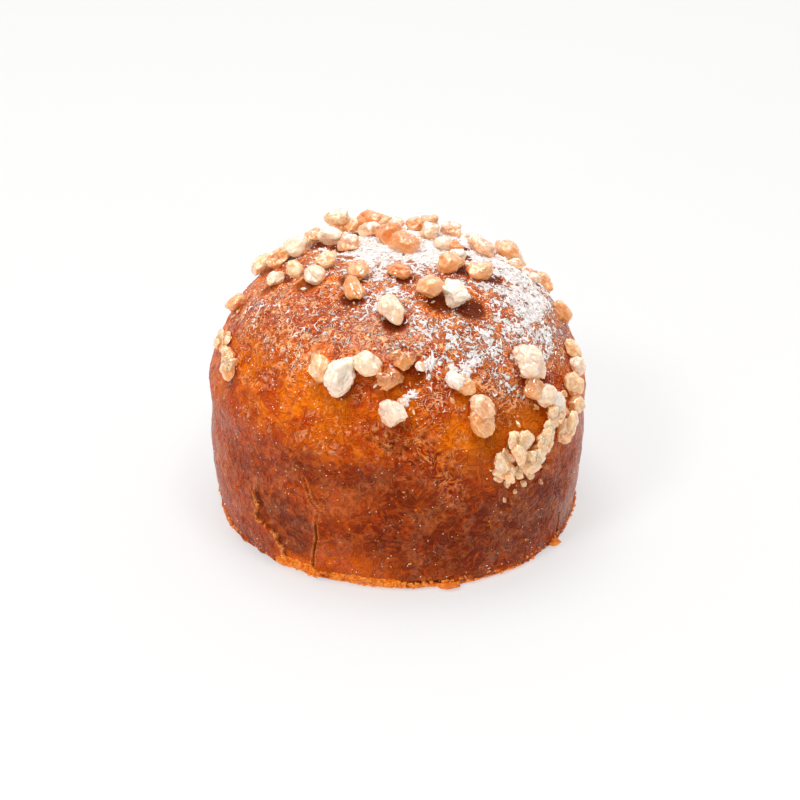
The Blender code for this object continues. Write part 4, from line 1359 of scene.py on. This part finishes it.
def crust_finish():
    """Egg-washed crown, drier dark wall, torn skin and bright lip, then films of sugar and icing sugar."""
    look = Shading(bpy.data.materials.new("crust"))
    dust, film_and_sheen, torn, amber, lip = map(look.attribute, ("dust", "film_and_sheen", "torn", "amber", "lip"))
    crack_shade, rim, bare, shade, low = map(look.attribute, ("crack_shade", "rim", "bare", "shade", "low"))
    clear = look.less(1.0, bare)
    broad, wide = look.noise(9.0, 0.4), look.noise(5.5, 0.8, 37.0, 1.0)
    middle, fine = look.noise(3.0, 0.9, 7.0), look.noise(0.9, 1.2, 13.0)
    fibre = look.noise(1.1, 0.9, 17.0, stretch=(1.0, 1.0, 0.30))
    bake = look.rise(look.math("ADD", look.attribute("bake"), look.line(middle, 0.6, -0.3)), 0.05, 0.95)
    patches = look.rise(look.noise(4.5, 0.4, 61.0), 0.48, 0.60)
    film_and_sheen = look.rise(film_and_sheen, 0.12, 0.85)

    # Curls of the skin: threads painted as highlights and used as icing lace, with painted shade beside
    # them
    away = look.offset(2.4, 31.0, 1.3)
    nearest = look.math("MINIMUM", away, look.math("ADD", look.offset(1.9, 57.0, 1.1), 0.02))
    worms = look.less(1.0, look.math("DIVIDE", away, 0.16, clamp=True))
    lit_curls = look.fall(nearest, 0.0, 0.12)
    threads = look.fall(nearest, 0.025, 0.060)
    thread_shade = look.times(look.rise(nearest, 0.05, 0.08), look.fall(nearest, 0.10, 0.17))
    broken = look.rise(look.noise(2.2, 0.6, 71.0, 1.0), 0.44, 0.56)
    dash_highlights = look.times(threads, broken)
    strokes = look.noise(2.8, 1.5, 91.0, 1.0)
    swirl = look.offset(3.4, 83.0, 1.4)
    lit_ridge = look.fall(swirl, 0.0, 0.07)
    shaded_furrow = look.times(look.rise(swirl, 0.05, 0.10), look.fall(swirl, 0.11, 0.18))
    glints = look.fall(look.cells(1.7, 7.0), 0.07, 0.12)
    glints = look.times(glints, look.rise(look.noise(4.0, shift=77.0, detail=1.0), 0.46, 0.54))

    # Amber glaze, darker in the painted shade of the shade spots
    thick = look.mix(look.times(shade, 0.8), (0.64, 0.140, 0.002), (0.38, 0.060, 0.001))
    crown = look.layers(
        look.mix(look.rise(broad, 0.36, 0.60), (0.60, 0.068, 0.001), (0.96, 0.205, 0.001)),
        ((0.46, 0.034, 0.001), look.rise(wide, 0.46, 0.66), 0.65),
        ((0.42, 0.032, 0.001), look.rise(middle, 0.50, 0.66), 0.30),
        # Painted shade, and darker baking, from the shade spots
        ((0.34, 0.026, 0.001), shade, 0.65),
        ((0.44, 0.034, 0.001), low, 0.60),
        (thick, amber, 0.8),
        # Painted shade in furrows and beside threads, painted highlights on ridges and threads
        ((0.36, 0.022, 0.001), shaded_furrow, 0.22),
        ((1.0, 0.28, 0.004), lit_ridge, 0.26),
        ((0.30, 0.016, 0.001), thread_shade, patches, 0.40),
        ((1.0, 0.56, 0.30), dash_highlights, look.line(patches, 0.34, 0.04)),
    )
    # A painted sheen on the wall, weaker where the shade spots are
    painted_sheen = look.times(look.rise(look.noise(7.0, 0.8, 29.0), 0.46, 0.60), look.line(shade, -0.8, 1.0))
    wall = look.layers(
        look.mix(look.rise(middle, 0.32, 0.62), (0.28, 0.022, 0.001), (0.52, 0.046, 0.001)),
        ((0.66, 0.074, 0.001), look.rise(broad, 0.45, 0.62), 0.75),
        # Painted shade, and darker baking, from the shade spots
        ((0.17, 0.012, 0.001), shade, 0.80),
        ((0.47, 0.14, 0.035), painted_sheen, 0.24),
        ((0.13, 0.009, 0.001), look.rise(strokes, 0.47, 0.64), 0.36),
        ((0.76, 0.13, 0.010), look.rise(strokes, 0.50, 0.33), 0.28),
        # Painted shade in furrows, painted highlights on ridges and curls
        ((0.12, 0.008, 0.001), shaded_furrow, 0.30),
        ((0.80, 0.19, 0.020), lit_ridge, 0.20),
        ((0.66, 0.19, 0.030), lit_curls, patches, 0.26),
        (look.mix(patches, (0.92, 0.145, 0.001), (0.70, 0.085, 0.001)), amber, 0.85),
    )

    # The lip, then painted shade in cracks, pores and holes, and painted highlights on the rims
    lip = look.rise(look.line(middle, 1.2, look.math("ADD", lip, -0.6)), 0.25, 0.60)
    bright = look.mix(look.rise(fine, 0.42, 0.60), (0.62, 0.075, 0.002), (0.93, 0.34, 0.04))
    holes = look.times(look.rise(look.noise(1.5, 1.0, 9.0), 0.61, 0.67), look.rise(torn, 0.2, 0.6))
    pores = look.times(look.fall(look.cells(2.6, 5.0), 0.03, 0.10), 0.6)
    dark = look.math("MAXIMUM", look.math("MAXIMUM", pores, crack_shade), holes)
    rim = look.math("MULTIPLY", rim, look.line(look.rise(fine, 0.42, 0.56), 0.36, 0.12), clamp=True)

    # Dissolved sugar and a painted sheen, then icing sugar with painted shade in the gaps between its
    # flakes
    streaks = look.math("MAXIMUM", look.rise(fibre, 0.42, 0.58), look.times(threads, 0.8))
    syrup_and_sheen = look.mix(bake, (0.72, 0.42, 0.32), (0.54, 0.29, 0.20))
    haze = look.times(look.rise(dust, 0.25, 0.8), 0.2)
    lace = look.times(threads, look.rise(dust, 0.05, 0.26), look.line(broken, 0.62, 0.24))
    clumps = look.rise(look.noise(2.3, 0.6, 43.0, 3.0, 0.6), 0.36, 0.64)
    score = look.line(worms, 0.55, look.times(clumps, 0.45))
    reach = look.math("ADD", score, look.line(look.math("POWER", dust, 1.25), 0.90, -1.02))
    snow = look.rise(reach, -0.04, 0.04)
    gap_shade = look.times(look.rise(reach, -0.25, -0.04), look.rise(dust, 0.12, 0.3))
    grain = look.rise(look.noise(0.8, 0.8, 51.0), 0.4, 0.6)
    colour = look.layers(
        look.mix(bake, crown, wall),
        ((0.40, 0.022, 0.001), torn, 0.66),
        # In the torn crust: painted shade in furrows, painted highlights on ridges and dashes
        ((0.20, 0.010, 0.001), torn, shaded_furrow, 0.5),
        ((0.92, 0.20, 0.008), torn, lit_ridge, 0.6),
        ((1.0, 0.46, 0.18), torn, dash_highlights, 0.55),
        (bright, lip),
        # Painted shadow below each lump
        ((0.10, 0.006, 0.001), bare, 0.92),
        # Painted shade in pores, cracks, holes and the gap above the flap
        ((0.10, 0.006, 0.001), dark, 0.85),
        # Painted highlight on the rims
        ((1.0, 0.36, 0.09), rim),
        ((1.0, 0.78, 0.56), glints, 0.90),
        # Sugar film on the crown, and a painted sheen on the wall's edges
        (syrup_and_sheen, film_and_sheen, streaks, 0.75, clear),
        # Painted shade beside the threads below the icing sugar
        ((0.30, 0.022, 0.001), thread_shade, look.rise(dust, 0.01, 0.2), 0.7),
        ((0.96, 0.56, 0.29), look.math("MAXIMUM", haze, lace), clear),
        # Painted shade in the gaps between the icing sugar's flakes
        ((0.15, 0.022, 0.006), gap_shade, clear, 0.75),
        (look.mix(grain, (0.94, 0.905, 0.89), (0.75, 0.635, 0.585)), snow, 0.95),
    )

    # Gloss and fine relief
    sheen = look.line(look.math("MAXIMUM", film_and_sheen, look.rise(dust, 0.05, 0.3)), 0.20, 0.06)
    sheen = look.line(look.times(bake, patches), 0.28, sheen)
    plain = look.less(clear, look.times(snow, clear))
    height = look.line(fine, look.line(snow, 0.7, 0.10), snow)
    height = look.line(lit_curls, 0.35, height)
    height = look.line(look.less(lit_ridge, shaded_furrow), 0.45, height)
    height = look.line(strokes, look.times(look.line(bake, 0.55, 0.30), -2.4), height)
    height = look.line(look.noise(2.4, 0.8, 3.0, 1.0), look.line(bake, 1.2, 1.0), height)
    height = look.line(fibre, look.times(bake, 0.3), height)
    relief_normal = look.bump(look.line(dark, -0.7, height), 0.34 * MM)
    return look.finished(
        Base_Color=colour, Roughness=look.line(snow, 0.35, 0.36),
        Normal=relief_normal, Coat_Normal=relief_normal,
        Specular_IOR_Level=0.20, Specular_Tint=(1.0, 0.42, 0.14),
        Coat_Weight=look.times(plain, sheen), Coat_Roughness=0.10,
        Subsurface_Weight=0.10, Subsurface_Radius=(1.0, 0.22, 0.03), Subsurface_Scale=0.8 * MM,
        # The rims and the bright lip glow: painted light
        Emission_Color=(1.0, 0.26, 0.02), Emission_Strength=look.line(rim, 0.18, look.times(lip, 0.24)),
    )


def sugar_finish():
    """Pearl sugar: translucent lumps that took colour in the oven, with icing sugar on their tops."""
    look = Shading(bpy.data.materials.new("pearl_sugar"))
    crease, number, powder, under = map(look.attribute, ("crease", "number", "powder", "under"))
    edge, paleness, stain = map(look.attribute, ("edge", "pale", "stain"))
    toasted = look.rise(look.line(number, 0.10, look.noise(1.8, 0.8)), 0.49, 0.60)
    sparkle = look.fall(look.cells(1.2, 15.0), 0.06, 0.14)
    sparkle = look.times(sparkle, look.rise(look.noise(1.7, shift=27.0, detail=1.0), 0.46, 0.56))
    white = look.math("ADD", look.noise(0.9, 0.8, 21.0), look.line(powder, 0.35, -0.35))
    white = look.times(look.rise(white, 0.43, 0.53), look.line(paleness, 0.74, 0.01))
    pale = look.rise(look.noise(1.3, 0.5, 11.0), 0.50, 0.57)
    veins = look.rise(look.noise(0.9, 1.2, 33.0), 0.54, 0.62)
    colour = look.layers(
        look.attribute("tint", "Color"),
        ((0.76, 0.25, 0.035), toasted, stain, 0.62),
        ((0.98, 0.87, 0.72), pale, look.line(paleness, 0.90, 0.08), 0.48),
        ((0.72, 0.24, 0.03), veins, stain, 0.40),
        # Painted shade on the underside
        ((0.78, 0.34, 0.09), under, stain, 0.60),
        ((0.82, 0.28, 0.05), crease, stain, 0.70),
        # Painted highlight along the crystals' edges
        ((1.0, 0.82, 0.54), edge, look.line(paleness, 0.44, 0.21)),
        ((1.0, 0.95, 0.88), sparkle, 0.85),
        ((0.95, 0.91, 0.88), white),
    )
    height = look.line(look.noise(0.6, 0.4, 5.0, 1.0), 0.5, look.cells(1.3, 3.0))
    relief_normal = look.bump(height, 0.11 * MM, 0.8)
    return look.finished(
        Base_Color=colour, Roughness=look.line(white, 0.45, 0.13), Normal=relief_normal,
        Subsurface_Weight=1.0, Subsurface_Radius=(1.0, 0.90, 0.76), Subsurface_Scale=0.8 * MM,
        Coat_Weight=look.less(1.0, white), Coat_Roughness=0.05, Coat_Normal=relief_normal,
        # The underside glows: painted light
        Emission_Color=(1.0, 0.52, 0.20), Specular_IOR_Level=0.8,
        Emission_Strength=look.line(under, 0.09, 0.06),
    )


def icing_finish():
    """Dry white icing sugar."""
    look = Shading(bpy.data.materials.new("icing_sugar"))
    return look.finished(
        Base_Color=look.mix(look.noise(1.5), (0.96, 0.91, 0.88), (0.92, 0.82, 0.77)), Roughness=0.75,
        Normal=look.bump(look.noise(0.15), 0.03 * MM), Subsurface_Weight=1.0,
        Subsurface_Radius=(1.0, 0.95, 0.9), Subsurface_Scale=0.4 * MM,
        # A faint glow that lightens the icing sugar's shade: painted light
        Emission_Color=(1.0, 0.82, 0.74), Emission_Strength=0.16,
    )


def crumb_finish():
    """The bright torn crust of the crumbs and flaps, with a faint painted glow."""
    look = Shading(bpy.data.materials.new("crumbs"))
    patch, fine = look.noise(1.6, detail=3.0), look.noise(0.4, 0.5, 5.0, 3.0, 0.6)
    colour = look.layers(
        look.mix(look.rise(patch, 0.35, 0.65), (0.62, 0.12, 0.004), (0.90, 0.28, 0.020)),
        ((1.0, 0.62, 0.26), look.rise(fine, 0.58, 0.7), 0.5),
    )
    return look.finished(
        Base_Color=colour, Roughness=0.55, Normal=look.bump(fine, 0.10 * MM),
        Subsurface_Weight=0.2, Subsurface_Radius=(1.0, 0.4, 0.15), Subsurface_Scale=0.8 * MM,
        # A faint glow: painted light
        Emission_Color=(1.0, 0.30, 0.04), Emission_Strength=0.14,
    )


def make_floor():
    """A plain pale floor, bright enough to be almost white."""
    bpy.ops.mesh.primitive_plane_add(size=FLOOR_SIZE, location=(0.0, 0.0, -FLOOR_DROP))
    floor = bpy.context.object
    floor.name = "floor"
    look = Shading(bpy.data.materials.new("floor"))
    look.set(
        Base_Color=look.mix(look.noise(FLOOR_PATCHES), *FLOOR_COLOURS),
        Roughness=0.9, Emission_Color=(1.0, 1.0, 1.0), Emission_Strength=FLOOR_GLOW,
    )
    floor.data.materials.append(look.owner)


def make_light():
    """Soft studio light: a pale sky and a few square lamps aimed at the brioche."""
    world = bpy.data.worlds.new("studio")
    look = Shading(world, "Background")
    way = look.node("TexCoord", "Generated", {})
    share = look.rise(look.node("SeparateXYZ", "Y", {0: way}), -1.0, 1.0)
    look.set(Color=look.mix(share, SKY_FRONT, SKY_BACK))
    bpy.context.scene.world = world
    for name, azimuth, elevation, distance, size, power in LIGHTS:
        lamp = bpy.data.lights.new(name, "AREA")
        lamp.size, lamp.energy = size, power
        flat = distance * math.cos(math.radians(elevation))
        height = distance * math.sin(math.radians(elevation))
        made = scene_object(name, lamp)
        made.location = around(math.radians(azimuth), flat, height)
        made.rotation_euler = (-made.location).to_track_quat("-Z", "Y").to_euler()


def make_camera():
    """The camera, looking down at the front of the brioche."""
    data = bpy.data.cameras.new("camera")
    data.lens = CAMERA_LENS
    data.clip_start = CLIP_START
    camera = scene_object("camera", data)
    back = around(0.0, math.cos(CAMERA_ELEVATION), math.sin(CAMERA_ELEVATION))
    up = around(math.pi, math.sin(CAMERA_ELEVATION), math.cos(CAMERA_ELEVATION))
    camera.location = CAMERA_AIM - up * CAMERA_AIM_BELOW + back * CAMERA_DISTANCE
    camera.rotation_euler = (math.pi / 2 - CAMERA_ELEVATION, 0.0, 0.0)
    bpy.context.scene.camera = camera


make_camera()
make_light()
make_floor()
sugar_lumps = shape_lumps()
crust_surface = make_crust(sugar_lumps, crust_finish())
sugar = sugar_finish()
make_sugar(sugar_lumps, sugar)
make_splinters(sugar_lumps, sugar)
icing = icing_finish()
make_flakes(crust_surface, icing)
make_grains(crust_surface, icing)
make_crumbs(crumb_finish())

scene = bpy.context.scene
scene.view_settings.view_transform = "Standard"
